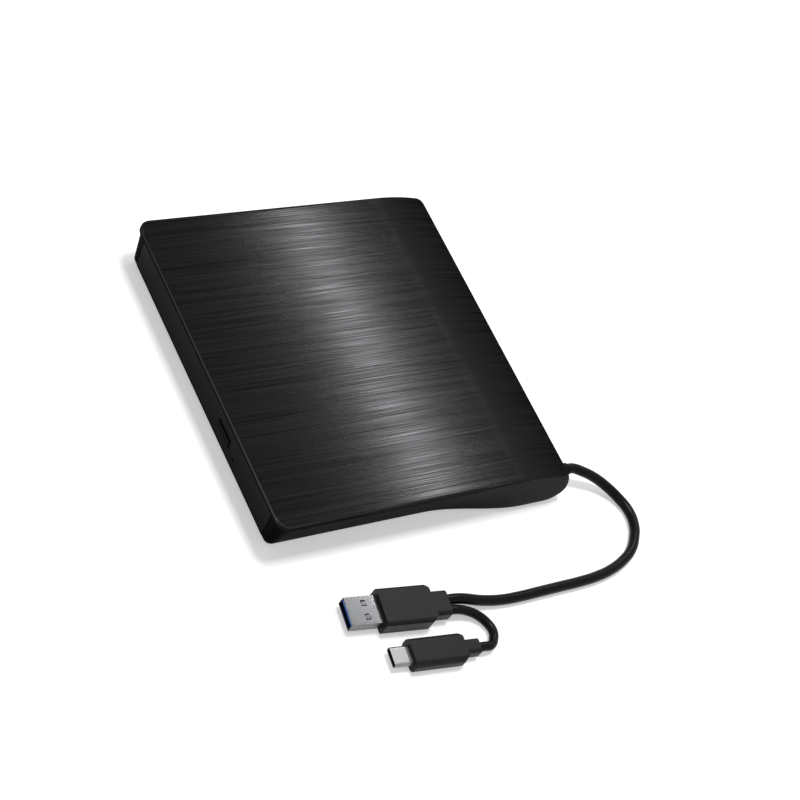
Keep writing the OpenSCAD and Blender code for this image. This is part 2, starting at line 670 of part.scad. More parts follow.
module tray() color([0.13, 0.13, 0.14]) difference() {
    tray_blank();
    post(0, disc_y, tray_z1, plate_z0, recess_r);
    in_traverse() {
        post(0, 0, 0, plate_z0, turntable_r + 1.2);
        slab(0, window_end, -window_hw, window_hw, 0, plate_z0);
        for (p = damper_at) post(p.x, p.y, tray_z0 - past, tray_z1 - tray_floor_t / 3, small_bore_r);
    }
    for (x = board_screw_xs) post(x, board_screw_y, 0, tray_z1 - tray_floor_t / 3, small_bore_r);
    slab(button_x - plunger_hw - button_gap, button_x + plunger_hw + button_gap, tray_y0 - past,
        tray_y0 + tray_wall + past, plunger_z - plunger_hh - button_gap, plunger_z + plunger_hh + button_gap);
    along_y(light_x, light_z, tray_y0 - past, tray_y0 + tray_wall + past, light_r + shaft_gap);
}
shield_in = 2.6;
shield_over = 4;
shield_slot = 1;
module tray_shield() color([0.76, 0.77, 0.78]) difference() {
    slab(-tray_hw + skirt_t + run_gap, tray_hw - skirt_t - run_gap, tray_y0 + tray_wall + shield_in,
        shield_post_ys[1] + shield_over, shield_z0, shield_z1);
    slab(latch_x - latch_post_r - shield_slot, latch_x + latch_post_r + shield_slot, latch_y - shield_over,
        nose_y, 0, plate_z0);
    slab(ribbon_x0 - shield_slot, ribbon_x0 + ribbon_w + shield_slot, ribbon_y0 - 2 * shield_slot,
        ribbon_y0 + 3 * shield_slot, 0, plate_z0);
}
module tray_board() color([0.05, 0.25, 0.14]) difference() {
    slab(tray_board_x0, tray_board_x1, tray_board_y0, tray_board_y1, tray_board_z0, tray_board_z1);
    for (x = board_screw_xs) post(x, board_screw_y, 0, plate_z0, small_bore_r);
}
module board_screws() color([0.6, 0.6, 0.62]) for (x = board_screw_xs) {
    post(x, board_screw_y, tray_board_z0 - small_head_t, tray_board_z0, small_head_r);
    post(x, board_screw_y, tray_board_z0, tray_z1 - tray_floor_t / 3 - fit_gap, small_screw_r);
}

// Bezel on the tray's front
bezel_z0 = floor_z0 + 0.3;
bezel_z1 = plate_z0 - 0.6;
bezel_back = tray_y0 - seam_gap;
bezel_return = 1.6;
bezel_edge_r = 1.5;
rib_t = 2;
rib_xs = [-48, -4, 48];
rib_z0 = front_wall_z0 + 0.5;
rib_z1 = rim_z - 0.5;
pin_hole_z = button_z - 2.9;
module bezel_side_view() polygon(concat(
    [[face_y(bezel_z1), bezel_z1]],
    [[face_y(bezel_z0 + bezel_edge_r), bezel_z0 + bezel_edge_r]],
    arc_points(face_y(bezel_z0) + bezel_edge_r, bezel_z0 + bezel_edge_r, bezel_edge_r, 190, 270, 5),
    [[bezel_back, bezel_z0], [bezel_back, bezel_z1]]
));
module bezel_pocket() polygon([
    [face_y(bezel_z1) + bezel_skin, bezel_z1 - bezel_return],
    [face_y(bezel_z0) + bezel_skin, bezel_z0 + bezel_return],
    [tray_y0, bezel_z0 + bezel_return],
    [tray_y0, bezel_z1 - bezel_return]
]);
module tray_bezel() color([0.17, 0.17, 0.18]) difference() {
    union() {
        difference() {
            along_x(-bezel_hw, bezel_hw) bezel_side_view();
            along_x(-bezel_hw + bezel_return, bezel_hw - bezel_return) bezel_pocket();
        }
        for (x = rib_xs) slab(x, x + rib_t, face_y(rib_z0) + bezel_skin / 2, tray_y0, rib_z0, rib_z1);
    }
    slab(button_x - button_w / 2 - button_gap, button_x + button_w / 2 + button_gap, 2 * front_y, tray_y0,
        button_z - button_h / 2 - button_gap, button_z + button_h / 2 + button_gap);
    along_y(pin_hole_x, pin_hole_z, 2 * front_y, tray_y0, pin_hole_r);
    along_y(light_x, light_z, 2 * front_y, tray_y0, light_r + shaft_gap);
}
flange_lip = 0.8;
flange_y1 = tray_y0 - button_travel - seam_gap / 2;
flange_y0 = max(flange_y1 - 0.7, face_y(button_z - button_h / 2 - flange_lip) + bezel_skin + fit_gap);
switch_y0 = tray_board_y0 + 0.2;
plunger_y1 = switch_y0 - button_travel - fit_gap;
switch_nub = 0.7;
switch_hw = 2.3;
module eject_button() color([0.15, 0.15, 0.16]) {
    along_x(button_x - button_w / 2, button_x + button_w / 2) polygon([
        [face_y(button_z + button_h / 2) - button_proud, button_z + button_h / 2],
        [face_y(button_z - button_h / 2) - button_proud, button_z - button_h / 2],
        [flange_y1, button_z - button_h / 2],
        [flange_y1, button_z + button_h / 2]
    ]);
    slab(button_x - button_w / 2 - flange_lip, button_x + button_w / 2 + flange_lip, flange_y0, flange_y1,
        button_z - button_h / 2 - flange_lip, button_z + button_h / 2 + flange_lip);
    slab(button_x - plunger_hw, button_x + plunger_hw, flange_y0, plunger_y1, plunger_z - plunger_hh,
        plunger_z + plunger_hh);
}
module eject_switch() color([0.2, 0.2, 0.2]) {
    slab(button_x - switch_hw, button_x + switch_hw, switch_y0 + switch_nub, switch_y0 + switch_nub + 3,
        tray_board_z1, plunger_z + plunger_hh);
    along_y(button_x, plunger_z, switch_y0, switch_y0 + switch_nub, plunger_hh - fit_gap);
}
module light_pipe() color([0.75, 0.8, 0.85])
    along_y(light_x, light_z, face_y(light_z) - 0.1, tray_board_y0 + 0.4, light_r);
module status_light() color([0.3, 0.5, 0.9])
    slab(light_x - 0.8, light_x + 0.8, tray_board_y0 + 0.4, tray_board_y0 + 2, tray_board_z1, light_z + light_r);

// Traverse: plate on dampers, with the spindle motor, rods, lead screw and pickup.
// Here x runs outwards from the hub along the sled's travel.
traverse_yaw = 225;
traverse_z1 = tray_z0 - 0.3;
traverse_z0 = traverse_z1 - traverse_t;
arm_v = 11.6;
drive_v = 22.2;
bridge_end = arm_end + 6;
back_end = 19;
body_end = 12;
bridge_hw = 9;
damper_at = [[-14, -12], [-14, 12], [arm_end + 3, 0]];
damper_r = 3;
damper_neck = 2;
damper_low = 0.5;
rod_v = 14.5;
rod_z = shield_z1 + 1.9;
lug_t = 3;
lug_in = 6;
lug_out = arm_end - lug_t;
lug_hw = 1.7;
screw_v = 19.5;
tab_t = 0.8;
stepper_u0 = 5;
stepper_u1 = 17;
screw_end = arm_end - 1.5;
module along_u(v, z, u0, u1, r) translate([u0, v, z]) rotate([0, 90, 0]) cylinder(h = u1 - u0, r = r);
module traverse_blank() {
    slab(-back_end, body_end, -side_v, side_v, traverse_z0, traverse_z1);
    slab(body_end, arm_end, -side_v, -arm_v, traverse_z0, traverse_z1);
    slab(body_end, arm_end, arm_v, side_v, traverse_z0, traverse_z1);
    slab(stepper_u1, arm_end, side_v - past, drive_v, traverse_z0, traverse_z1);
    slab(arm_end, bridge_end, -bridge_hw, bridge_hw, traverse_z0, traverse_z1);
    slab(arm_end - lug_t, arm_end + lug_t, -arm_v - past, arm_v + past, traverse_z0, traverse_z1);
    for (v = [-rod_v, rod_v]) for (u = [lug_in, lug_out])
        slab(u, u + lug_t, v - lug_hw, v + lug_hw, rod_z - lug_hw, traverse_z0);
    for (u = [stepper_u1, screw_end]) slab(u, u + tab_t, side_v, drive_v, rod_z - lug_hw, traverse_z0);
}
module traverse_plate() color([0.62, 0.63, 0.65]) in_traverse() difference() {
    traverse_blank();
    post(0, 0, 0, plate_z0, turntable_r + 0.6);
    slab(0, arm_end + 0.5, -arm_v, arm_v, traverse_z0 - past, traverse_z1 + past);
    for (v = [-rod_v, rod_v]) along_u(v, rod_z, 0, bridge_end, rod_r + shaft_gap);
    along_u(screw_v, rod_z, 0, bridge_end, screw_r + shaft_gap);
    for (p = damper_at) post(p.x, p.y, 0, plate_z0, damper_neck + shaft_gap);
}
module dampers() color([0.1, 0.1, 0.1]) in_traverse() for (p = damper_at) translate(p) difference() {
    union() {
        post(0, 0, traverse_z1, tray_z0, damper_r);
        post(0, 0, traverse_z0 - damper_low, tray_z0, damper_neck);
        post(0, 0, traverse_z0 - damper_low, traverse_z0, damper_r);
    }
    post(0, 0, 0, plate_z0, small_bore_r);
}
module damper_screws() color([0.6, 0.6, 0.62]) in_traverse() for (p = damper_at) translate(p) {
    post(0, 0, traverse_z0 - damper_low - 0.8, traverse_z0 - damper_low, small_head_r);
    post(0, 0, traverse_z0 - damper_low, tray_z1 - tray_floor_t / 3 - fit_gap, small_screw_r);
}
can_z0 = shield_z1 + 0.5;
can_z1 = traverse_z0;
flange_r = turntable_r + 2.2;
flange_t = 0.8;
flange_u1 = 4;
rotor_z0 = traverse_z0 + move_gap;
pad_t = 0.3;
seat_z = tray_z1 + 0.8;
rotor_z1 = seat_z - pad_t;
shaft_z0 = can_z0 + 0.4;
boss_len = 2.2;
boss_tip = 0.7;
finger_w = 0.5;
finger_gap = 2.2;
module spindle_motor() color([0.55, 0.5, 0.38]) in_traverse() difference() {
    union() {
        post(0, 0, can_z0, can_z1, motor_r);
        intersection() {
            post(0, 0, can_z1 - flange_t, can_z1, flange_r);
            slab(-2 * flange_r, flange_u1, -2 * flange_r, 2 * flange_r, 0, plate_z0);
        }
    }
    post(0, 0, shaft_z0 - shaft_gap, plate_z0, spindle_r + shaft_gap);
    for (p = damper_at) post(p.x, p.y, 0, plate_z0, damper_r + fit_gap);
}
module hub() color([0.2, 0.2, 0.21]) in_traverse() difference() {
    rotate_extrude() polygon([
        [0, shaft_z0], [spindle_r, shaft_z0], [spindle_r, rotor_z0], [turntable_r, rotor_z0],
        [turntable_r, rotor_z1], [boss_r, rotor_z1], [boss_r, rotor_z1 + boss_len],
        [boss_r - boss_tip, rotor_z1 + boss_len + boss_tip], [0, rotor_z1 + boss_len + boss_tip]
    ]);
    for (turn = [60, 180, 300]) rotate(turn) for (side = [-1, 1])
        slab(boss_r - 2, boss_r + past, side * finger_gap - finger_w / 2, side * finger_gap + finger_w / 2,
            rotor_z1 + boss_len - 1.6, plate_z0);
}
module hub_pad() color([0.05, 0.05, 0.05]) in_traverse() difference() {
    post(0, 0, rotor_z1, seat_z, turntable_r - 0.6);
    post(0, 0, 0, plate_z0, turntable_r - 3.2);
}
module main_rod() color([0.8, 0.81, 0.83]) in_traverse() along_u(rod_v, rod_z, lug_in, arm_end, rod_r);
module side_rod() color([0.8, 0.81, 0.83]) in_traverse() along_u(-rod_v, rod_z, lug_in, arm_end, rod_r);
module lead_screw() color([0.72, 0.72, 0.74]) in_traverse() difference() {
    along_u(screw_v, rod_z, stepper_u1 + shaft_gap, screw_end + tab_t, screw_r);
    for (u = [stepper_u1 + 2:1.5:screw_end - 1]) translate([u, screw_v, rod_z]) rotate([0, 90, 0])
        difference() {
            cylinder(h = 0.7, r = screw_r + past);
            translate([0, 0, -past]) cylinder(h = 3 * past, r = screw_r - 0.2);
        }
}
module stepper() color([0.7, 0.7, 0.68]) in_traverse() along_u(screw_v, rod_z, stepper_u0, stepper_u1, stepper_r);

// Pickup sled at its inner stop
sled_in = 8;
sled_u = turntable_r + move_gap + sled_in;
sled_out = 5;
sled_hv = 11;
sled_z0 = shield_z1 + 0.4;
sled_z1 = tray_z0 - 0.3;
arm_z1 = traverse_z0 - move_gap;
nut_t = 3;
bushing_out = 2;
fork_len = 6;
lens_back = 1;
lens_u = sled_u - lens_back;
holder_r = 4.2;
holder_t = 0.8;
cover_t = 0.3;
holder_z0 = sled_z1 + cover_t + lens_travel + fit_gap;
lens_r = 2.2;
module sled_arms() {
    slab(sled_u - sled_in, sled_u + bushing_out, sled_hv - past, rod_v + lug_hw, sled_z0, arm_z1);
    slab(sled_u - nut_t, sled_u, rod_v, screw_v, sled_z0, arm_z1);
    slab(sled_u - fork_len, sled_u, -rod_v - lug_hw, -sled_hv + past, sled_z0, arm_z1);
}
module sled() color([0.62, 0.6, 0.56]) in_traverse() difference() {
    union() {
        slab(sled_u - sled_in, sled_u + sled_out, -sled_hv, sled_hv, sled_z0, sled_z1);
        sled_arms();
    }
    along_u(rod_v, rod_z, 0, bridge_end, rod_r + shaft_gap);
    along_u(-rod_v, rod_z, 0, bridge_end, rod_r + shaft_gap);
    slab(0, bridge_end, -rod_v - 2 * lug_hw, -rod_v, rod_z - rod_r - shaft_gap, rod_z + rod_r + shaft_gap);
    along_u(screw_v, rod_z, 0, bridge_end, screw_r + 2 * shaft_gap);
    post(lens_u, 0, sled_z1 - 1.4, plate_z0, holder_r - 1);
}
module sled_cover() color([0.78, 0.78, 0.78]) in_traverse() difference() {
    slab(sled_u - sled_in, sled_u + sled_out, -sled_hv, sled_hv, sled_z1, sled_z1 + cover_t);
    post(lens_u, 0, 0, plate_z0, holder_r - 1);
}
module lens_holder() color([0.12, 0.12, 0.13]) in_traverse() difference() {
    union() {
        post(lens_u, 0, sled_z1 - 0.7, holder_z0 + holder_t, lens_r + 0.6);
        post(lens_u, 0, holder_z0, holder_z0 + holder_t, holder_r);
    }
    post(lens_u, 0, sled_z1 - past, holder_z0 + holder_t + past, lens_r);
}
module lens() color([0.55, 0.6, 0.8]) in_traverse() translate([lens_u, 0, holder_z0 - 0.2]) {
    cylinder(h = holder_t + 0.1, r = lens_r - shaft_gap);
}

// Plugs, lying flat where the lead ends. Here x runs towards the tip.
plug_a_at = [109.4, -7.5];
plug_a_yaw = 7.4;
plug_a_relief = 7.5;
plug_a_relief_w = lead_d + tail_d + 2.4;
plug_a_relief_h = 6.4;
plug_a_mid = plug_a_h / 2;
shell_a_w = 12;
shell_a_h = 4.5;
shell_a_len = 14;
shell_t = 0.3;
insert_a_h = 1.9;
plug_c_at = [128.9, -2.5];
plug_c_yaw = 6.7;
plug_c_relief = 6.5;
plug_c_mid = plug_c_h / 2;
shell_c_w = 8.3;
shell_c_h = 2.5;
shell_c_len = 8;
edge_r = 1.6;
plug_shoulder = 2;
plug_c_edge = 2.4;
tail_r = tail_d / 2;
lead_side = -(tail_r + 0.2);
tail_side = lead_r + 0.2;
function plug_dir(yaw) = [-sin(yaw), -cos(yaw), 0];
function plug_left(yaw) = [cos(yaw), -sin(yaw), 0];
module plug_frame(at, yaw) translate([at.x, at.y, 0]) rotate(270 - yaw) children();
module plug_block(relief, length, w, h, r) intersection() {
    translate([relief, 0, 0]) rounded_bar(length, w, h, r);
    linear_extrude(h) polygon([
        [relief, w / 2 - plug_shoulder], [relief + plug_shoulder, w / 2],
        [relief + length, w / 2], [relief + length, -w / 2],
        [relief + plug_shoulder, -w / 2], [relief, -w / 2 + plug_shoulder]
    ]);
}
module plug_a_body() color([0.12, 0.12, 0.13]) plug_frame(plug_a_at, plug_a_yaw) {
    plug_block(plug_a_relief, plug_a_len, plug_a_w, plug_a_h, edge_r);
    translate([0, 0, plug_a_mid - plug_a_relief_h / 2])
        rounded_bar(plug_a_relief, plug_a_relief_w, plug_a_relief_h, edge_r);
}
module plug_a_shell() color([0.78, 0.78, 0.8]) plug_frame(plug_a_at, plug_a_yaw)
    translate([plug_a_relief + plug_a_len, 0, plug_a_mid - shell_a_h / 2]) difference() {
        slab(0, shell_a_len, -shell_a_w / 2, shell_a_w / 2, 0, shell_a_h);
        slab(-past, shell_a_len + past, -shell_a_w / 2 + shell_t, shell_a_w / 2 - shell_t, shell_t,
            shell_a_h - shell_t);
        for (side = [-1, 1]) translate([6.2, side * 2.9, -past]) translate([-1.1, -1.25, 0])
            cube([2.2, 2.5, shell_a_h + 2 * past]);
    }
module plug_a_insert() color([0.1, 0.3, 0.75]) plug_frame(plug_a_at, plug_a_yaw)
    translate([plug_a_relief + plug_a_len, 0, plug_a_mid + shell_a_h / 2 - shell_t])
        slab(0, shell_a_len - 0.6, -shell_a_w / 2 + shell_t, shell_a_w / 2 - shell_t, -insert_a_h, 0);
module plug_c_body() color([0.12, 0.12, 0.13]) plug_frame(plug_c_at, plug_c_yaw) {
    plug_block(plug_c_relief, plug_c_len, plug_c_w, plug_c_h, plug_c_edge);
    translate([0, 0, plug_c_mid - (tail_r + 0.9)])
        rounded_bar(plug_c_relief, 2 * tail_r + 2.4, 2 * tail_r + 1.8, edge_r);
}
module plug_c_shell() color([0.78, 0.78, 0.8]) plug_frame(plug_c_at, plug_c_yaw)
    translate([plug_c_relief + plug_c_len, 0, plug_c_mid - shell_c_h / 2]) difference() {
        rounded_bar(shell_c_len, shell_c_w, shell_c_h, shell_c_h / 2 - 0.05);
        translate([-past, 0, shell_t])
            rounded_bar(shell_c_len + 2 * past, shell_c_w - 2 * shell_t, shell_c_h - 2 * shell_t,
                shell_c_h / 2 - shell_t - 0.05);
    }
module plug_c_insert() color([0.08, 0.08, 0.08]) plug_frame(plug_c_at, plug_c_yaw)
    translate([plug_c_relief + plug_c_len, 0, plug_c_mid - shell_c_h / 2 + shell_t])
        rounded_bar(shell_c_len - 5, shell_c_w - 2 * shell_t, shell_c_h - 2 * shell_t,
            shell_c_h / 2 - shell_t - 0.05);

// Lead and tail: tubes swept along points chosen by hand, ending square on the plugs
lead_end = [plug_a_at.x, plug_a_at.y, plug_a_mid] + lead_side * plug_left(plug_a_yaw);
tail_start = [plug_a_at.x, plug_a_at.y, plug_a_mid] + tail_side * plug_left(plug_a_yaw);
tail_end = [plug_c_at.x, plug_c_at.y, plug_c_mid];
lead_points = [
    [67.5, 84, 5.6], [70.5, 90, 3.8], [75, 95.5, 1.8], [80.5, 99.5, 0.4], [87, 101.5, 0], [93.5, 100.5, 0],
    [99.5, 97, 0], [104.5, 92, 0], [108, 85.5, 0], [110.5, 78, 0], [112, 69, 0], [112.5, 59, 0],
    [112.5, 49, 0], [112.5, 39, 0], [112.5, 29, 0], [112, 19, 0.1], [110.6, 10, 0.7]
];
tail_points = [
    [113.6, 1, 1.4], [116, 5.2, 0.5], [119.6, 8, 0], [123.6, 8.8, 0], [127.2, 7, 0.2], [129.2, 4.4, 0.8]
];
lead_route = concat(
    [[exit_x, gland_y1, exit_z], [exit_x, gland_y1 + 3, exit_z]],
    [for (p = lead_points) [p.x, p.y, p.z + lead_r]],
    [lead_end - 7 * plug_dir(plug_a_yaw), lead_end]
);
tail_route = concat(
    [tail_start, tail_start - 4 * plug_dir(plug_a_yaw)],
    [for (p = tail_points) [p.x, p.y, p.z + tail_r]],
    [tail_end - 3 * plug_dir(plug_c_yaw), tail_end]
);
function unit(v) = v / norm(v);
function heading(path, k) = unit(path[min(k + 1, len(path) - 1)] - path[max(k - 1, 0)]);
function side_of(t) = unit(cross(t, abs(t.z) > 0.9 ? [1, 0, 0] : [0, 0, 1]));
function ring_at(path, k, r, sides) =
    let (t = heading(path, k), s = side_of(t), up = cross(s, t))
    [for (n = [0:sides - 1]) let (a = 360 * n / sides) path[k] + r * (cos(a) * s + sin(a) * up)];
function tube_points(path, r, sides) = [for (k = [0:len(path) - 1]) for (p = ring_at(path, k, r, sides)) p];
function fan(first, sides, flip) = [for (s = [1:sides - 2])
    flip ? [first, first + s + 1, first + s] : [first, first + s, first + s + 1]];
module tube(path, r, sides) polyhedron(
    tube_points(path, r, sides),
    concat(
        [for (f = ring_faces(len(path), sides)) [f[2], f[1], f[0]]],
        fan(0, sides, true),
        fan((len(path) - 1) * sides, sides, false)
    )
);
module lead() color([0.06, 0.06, 0.06]) tube(lead_route, lead_r, 10);
module tail_lead() color([0.06, 0.06, 0.06]) tube(tail_route, tail_r, 8);

top_cover();
bottom_case();
rubber_feet();
case_screws();
lead_grommet();
inner_lead();
bridge_board();
bridge_chips();
drive_socket();
lead_socket();
bridge_screws();
drive_pan();
drive_lid();
drive_screws();
left_guide();
right_guide();
left_rail();
right_rail();
connector_board();
drive_plug();
ribbon();
latch_post();
kick_holder();
kick_plunger();
kick_spring();
tray();
tray_bezel();
eject_button();
eject_switch();
light_pipe();
status_light();
tray_board();
board_screws();
tray_shield();
latch_lever();
latch_pin();
release_magnet();
traverse_plate();
dampers();
damper_screws();
spindle_motor();
hub();
hub_pad();
main_rod();
side_rod();
lead_screw();
stepper();
sled();
sled_cover();
lens_holder();
lens();
lead();
tail_lead();
plug_a_body();
plug_a_shell();
plug_a_insert();
plug_c_body();
plug_c_shell();
plug_c_insert();
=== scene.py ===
import math
import bmesh
import bpy
from mathutils import Matrix, Vector


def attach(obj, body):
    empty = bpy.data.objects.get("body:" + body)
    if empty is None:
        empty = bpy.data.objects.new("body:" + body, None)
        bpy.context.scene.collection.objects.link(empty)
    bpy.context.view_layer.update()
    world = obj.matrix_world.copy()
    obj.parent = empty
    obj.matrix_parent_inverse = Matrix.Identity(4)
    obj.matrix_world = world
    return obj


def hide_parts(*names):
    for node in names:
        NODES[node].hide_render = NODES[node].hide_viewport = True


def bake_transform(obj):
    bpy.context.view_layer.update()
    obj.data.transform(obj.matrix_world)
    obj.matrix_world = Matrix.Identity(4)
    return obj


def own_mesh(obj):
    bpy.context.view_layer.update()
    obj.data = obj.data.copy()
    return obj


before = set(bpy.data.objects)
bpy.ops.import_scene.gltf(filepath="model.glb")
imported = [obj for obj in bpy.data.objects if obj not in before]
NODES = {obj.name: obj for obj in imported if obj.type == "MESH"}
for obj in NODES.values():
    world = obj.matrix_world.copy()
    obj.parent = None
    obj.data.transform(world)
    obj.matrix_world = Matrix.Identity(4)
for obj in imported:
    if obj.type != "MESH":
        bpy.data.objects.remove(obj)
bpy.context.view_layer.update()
SCENE = bpy.context.scene
SCENE.view_settings.view_transform = "Standard"
MM = 0.001


# Camera, solved from the corners of the plate in the photograph

CAMERA_PLACE = (0.34802, -0.46344, 0.60952)
CAMERA_RIGHT = (0.41644, 0.80858, 0.41566)
CAMERA_BACK = (0.39269, -0.57231, 0.71990)
SENSOR_WIDTH, LENS_LENGTH = 36, 92.757
CLIP_START, CLIP_END = 0.05, 20


def add_camera():
    right = Vector(CAMERA_RIGHT).normalized()
    back = Vector(CAMERA_BACK).normalized()
    up = back.cross(right).normalized()
    turn = Matrix((right, up, back)).transposed().to_4x4()
    lens = bpy.data.cameras.new("camera")
    lens.sensor_width = SENSOR_WIDTH
    lens.lens = LENS_LENGTH
    lens.clip_start = CLIP_START
    lens.clip_end = CLIP_END
    camera = bpy.data.objects.new("camera", lens)
    camera.matrix_world = Matrix.Translation(CAMERA_PLACE) @ turn
    SCENE.collection.objects.link(camera)
    SCENE.camera = camera


add_camera()


# Shader sockets as numbers

class Socket:
    """A socket in a node tree, on which arithmetic adds Math nodes."""

    def __init__(self, tree, socket):
        self.tree = tree
        self.socket = socket

    def node(self, kind, settings=None, out=0, **inputs):
        """Adds a node: its settings first, then its inputs by name, or by number as i0 and i1."""
        made = self.tree.nodes.new(kind)
        for name, value in (settings or {}).items():
            setattr(made, name, value)
        for name, value in inputs.items():
            key = int(name[1:]) if name[0] == "i" and name[1:].isdigit() else name.replace("_", " ")
            self.put(made.inputs[key], value)
        return Socket(self.tree, made.outputs[out])

    def put(self, target, value):
        if isinstance(value, Socket):
            self.tree.links.new(value.socket, target)
        else:
            target.default_value = value

    def math(self, operation, a, b=0.0, clamp=False):
        return self.node("ShaderNodeMath", {"operation": operation, "use_clamp": clamp}, i0=a, i1=b)

    def __add__(self, other):
        return self.math("ADD", self, other)

    def __radd__(self, other):
        return self.math("ADD", other, self)

    def __sub__(self, other):
        return self.math("SUBTRACT", self, other)

    def __rsub__(self, other):
        return self.math("SUBTRACT", other, self)

    def __mul__(self, other):
        return self.math("MULTIPLY", self, other)

    def __rmul__(self, other):
        return self.math("MULTIPLY", other, self)

    def __truediv__(self, other):
        return self.math("DIVIDE", self, other)

    def __rtruediv__(self, other):
        return self.math("DIVIDE", other, self)

    def __pow__(self, other):
        return self.math("POWER", self, other)

    def __rpow__(self, other):
        return self.math("POWER", other, self)

    def clamped(self):
        return self.math("ADD", self, 0.0, True)

    def above(self, level, slope):
        """Rises over a level, by a slope, from 0 to 1."""
        return ((self - level) * slope).clamped()

    def below(self, level, slope):
        """Rises under a level, by a slope, from 0 to 1."""
        return ((level - self) * slope).clamped()

    def noise(self, where, scale, detail=3.0, rough=0.5):
        return self.node("ShaderNodeTexNoise", out="Fac", Vector=where, Scale=scale, Detail=detail,
                         Roughness=rough)

    def stretched(self, where, factors, offset=(0, 0, 0)):
        return self.node("ShaderNodeMapping", Vector=where, Location=offset, Scale=factors)

    def blend(self, share, first, second):
        """Mixes two colours."""
        first, second = [c if isinstance(c, Socket) else (*c, 1) for c in (first, second)]
        return self.node("ShaderNodeMix", {"data_type": "RGBA"}, out=2, i0=share, i6=first, i7=second)

    def bump(self, height, strength, distance):
        return self.node("ShaderNodeBump", Height=height, Strength=strength, Distance=distance)

    def axis(self, where, letter):
        return self.node("ShaderNodeSeparateXYZ", out=letter, Vector=where)


def new_material(name):
    """A material with its tree, its shader and its object coordinates."""
    material = bpy.data.materials.new(name)
    material.use_nodes = True
    tree = material.node_tree
    shader = tree.nodes["Principled BSDF"]
    place = tree.nodes.new("ShaderNodeTexCoord")
    return material, shader, Socket(tree, place.outputs["Object"])


def finish_shader(at, shader, colour, roughness, normal=None, **fixed):
    at.put(shader.inputs["Base Color"], colour)
    at.put(shader.inputs["Roughness"], roughness)
    if normal is not None:
        at.put(shader.inputs["Normal"], normal)
    for name, value in fixed.items():
        shader.inputs[name.replace("_", " ")].default_value = value


# Materials

# Painted shade: the tint that weakens the reflection, and the colour it darkens to
SHADE_TINT = (0.25, 0.25, 0.25, 1.0)
SHADE_COLOUR = (0.001, 0.001, 0.001)
CLOUD_SCALE, WEAR_SCALE, STAIN_SCALE = 55.0, 130.0, 70.0
WEAR_DEPTH, GRAIN_DEPTH, GRAIN_BUMP, LINE_SHARE = 0.16, 0.08, 0.35, 0.55


def moulded(name, dark, light, rough=0.45, grain=2600.0, depth=0.00002, gloss=0.22, painted_shade=None, **fixed):
    """Moulded plastic or rubber: fine grain, faint cloudy colour and patches of handling gloss.

    Where a share of painted shade is given, the colour is painted darker and the reflection weaker.
    """
    material, shader, at = new_material(name)
    cloud = at.noise(at, CLOUD_SCALE, 4.0, 0.6)
    fine = at.noise(at, grain, 2.0, 0.6)
    worn = at.noise(at, WEAR_SCALE, 5.0, 0.65)
    colour = at.blend((cloud * 0.6 + fine * 0.4).clamped(), dark, light)
    # Painted shade: a darker colour and a weaker reflection where a share is given
    if painted_shade:
        share = painted_shade(at).clamped()
        at.put(shader.inputs["Metallic"], share)
        shader.inputs["Specular Tint"].default_value = SHADE_TINT
        colour = at.blend(share, colour, SHADE_COLOUR)
    rough = (rough + (worn - 0.5) * WEAR_DEPTH + (fine - 0.5) * GRAIN_DEPTH).clamped()
    finish_shader(at, shader, colour, rough, at.bump(fine, GRAIN_BUMP, depth), Specular_IOR_Level=gloss,
                  **fixed)
    return material


def rolled(name, dark, light, rough=0.34, along=(900.0, 24.0, 900.0), dent=0.25, patchy=0.22, **fixed):
    """Sheet or drawn metal with lines from rolling and patches of other gloss."""
    material, shader, at = new_material(name)
    lines = at.noise(at.stretched(at, along), 1.0, 4.0, 0.6)
    stain = at.noise(at, STAIN_SCALE, 5.0, 0.6)
    colour = at.blend((lines * 0.5 + stain * 0.5).clamped(), dark, light)
    gloss = (stain - 0.5) * patchy + (lines - 0.5) * (LINE_SHARE * patchy)
    finish_shader(at, shader, colour, (rough + gloss).clamped(),
                  at.bump(lines, dent, 0.00001), Metallic=1.0, **fixed)
    return material


# Where the plate's finish, its painted sheen, painted shade and painted rim highlight change, in metres, and
# its colours
BEND_Y0, BEND_Y1 = 0.04, 0.07
PLATE_FRONT_Y, RIM_Z = -0.07175, 0.0195
WORN_X, WORN_Y = 0.0662, 0.03
CORNER_X, CORNER_Y, CORNER_REACH = 0.067, -0.0668, 0.0043
FILM_DARK, FILM_LIGHT = (0.0042, 0.0042, 0.0043), (0.0162, 0.0162, 0.0168)
# The colour of the painted sheen where the plate bends down, and of the painted shade on its front edge
BEND_SHEEN_COLOUR, FRONT_SHADE_COLOUR = (0.025, 0.025, 0.0258), (0.008, 0.008, 0.008)
# The colours of the painted highlight along the top of the front edge, on the far and the near side
RIM_HIGHLIGHT_FAR, RIM_HIGHLIGHT_NEAR = (0.024, 0.024, 0.025), (0.05, 0.05, 0.052)
FILM_ROUGH, SHEEN_DEPTH, WORN_DEPTH = 0.147, 0.11, 0.35
FILM_TINT = (0.5, 0.5, 0.5, 1.0)


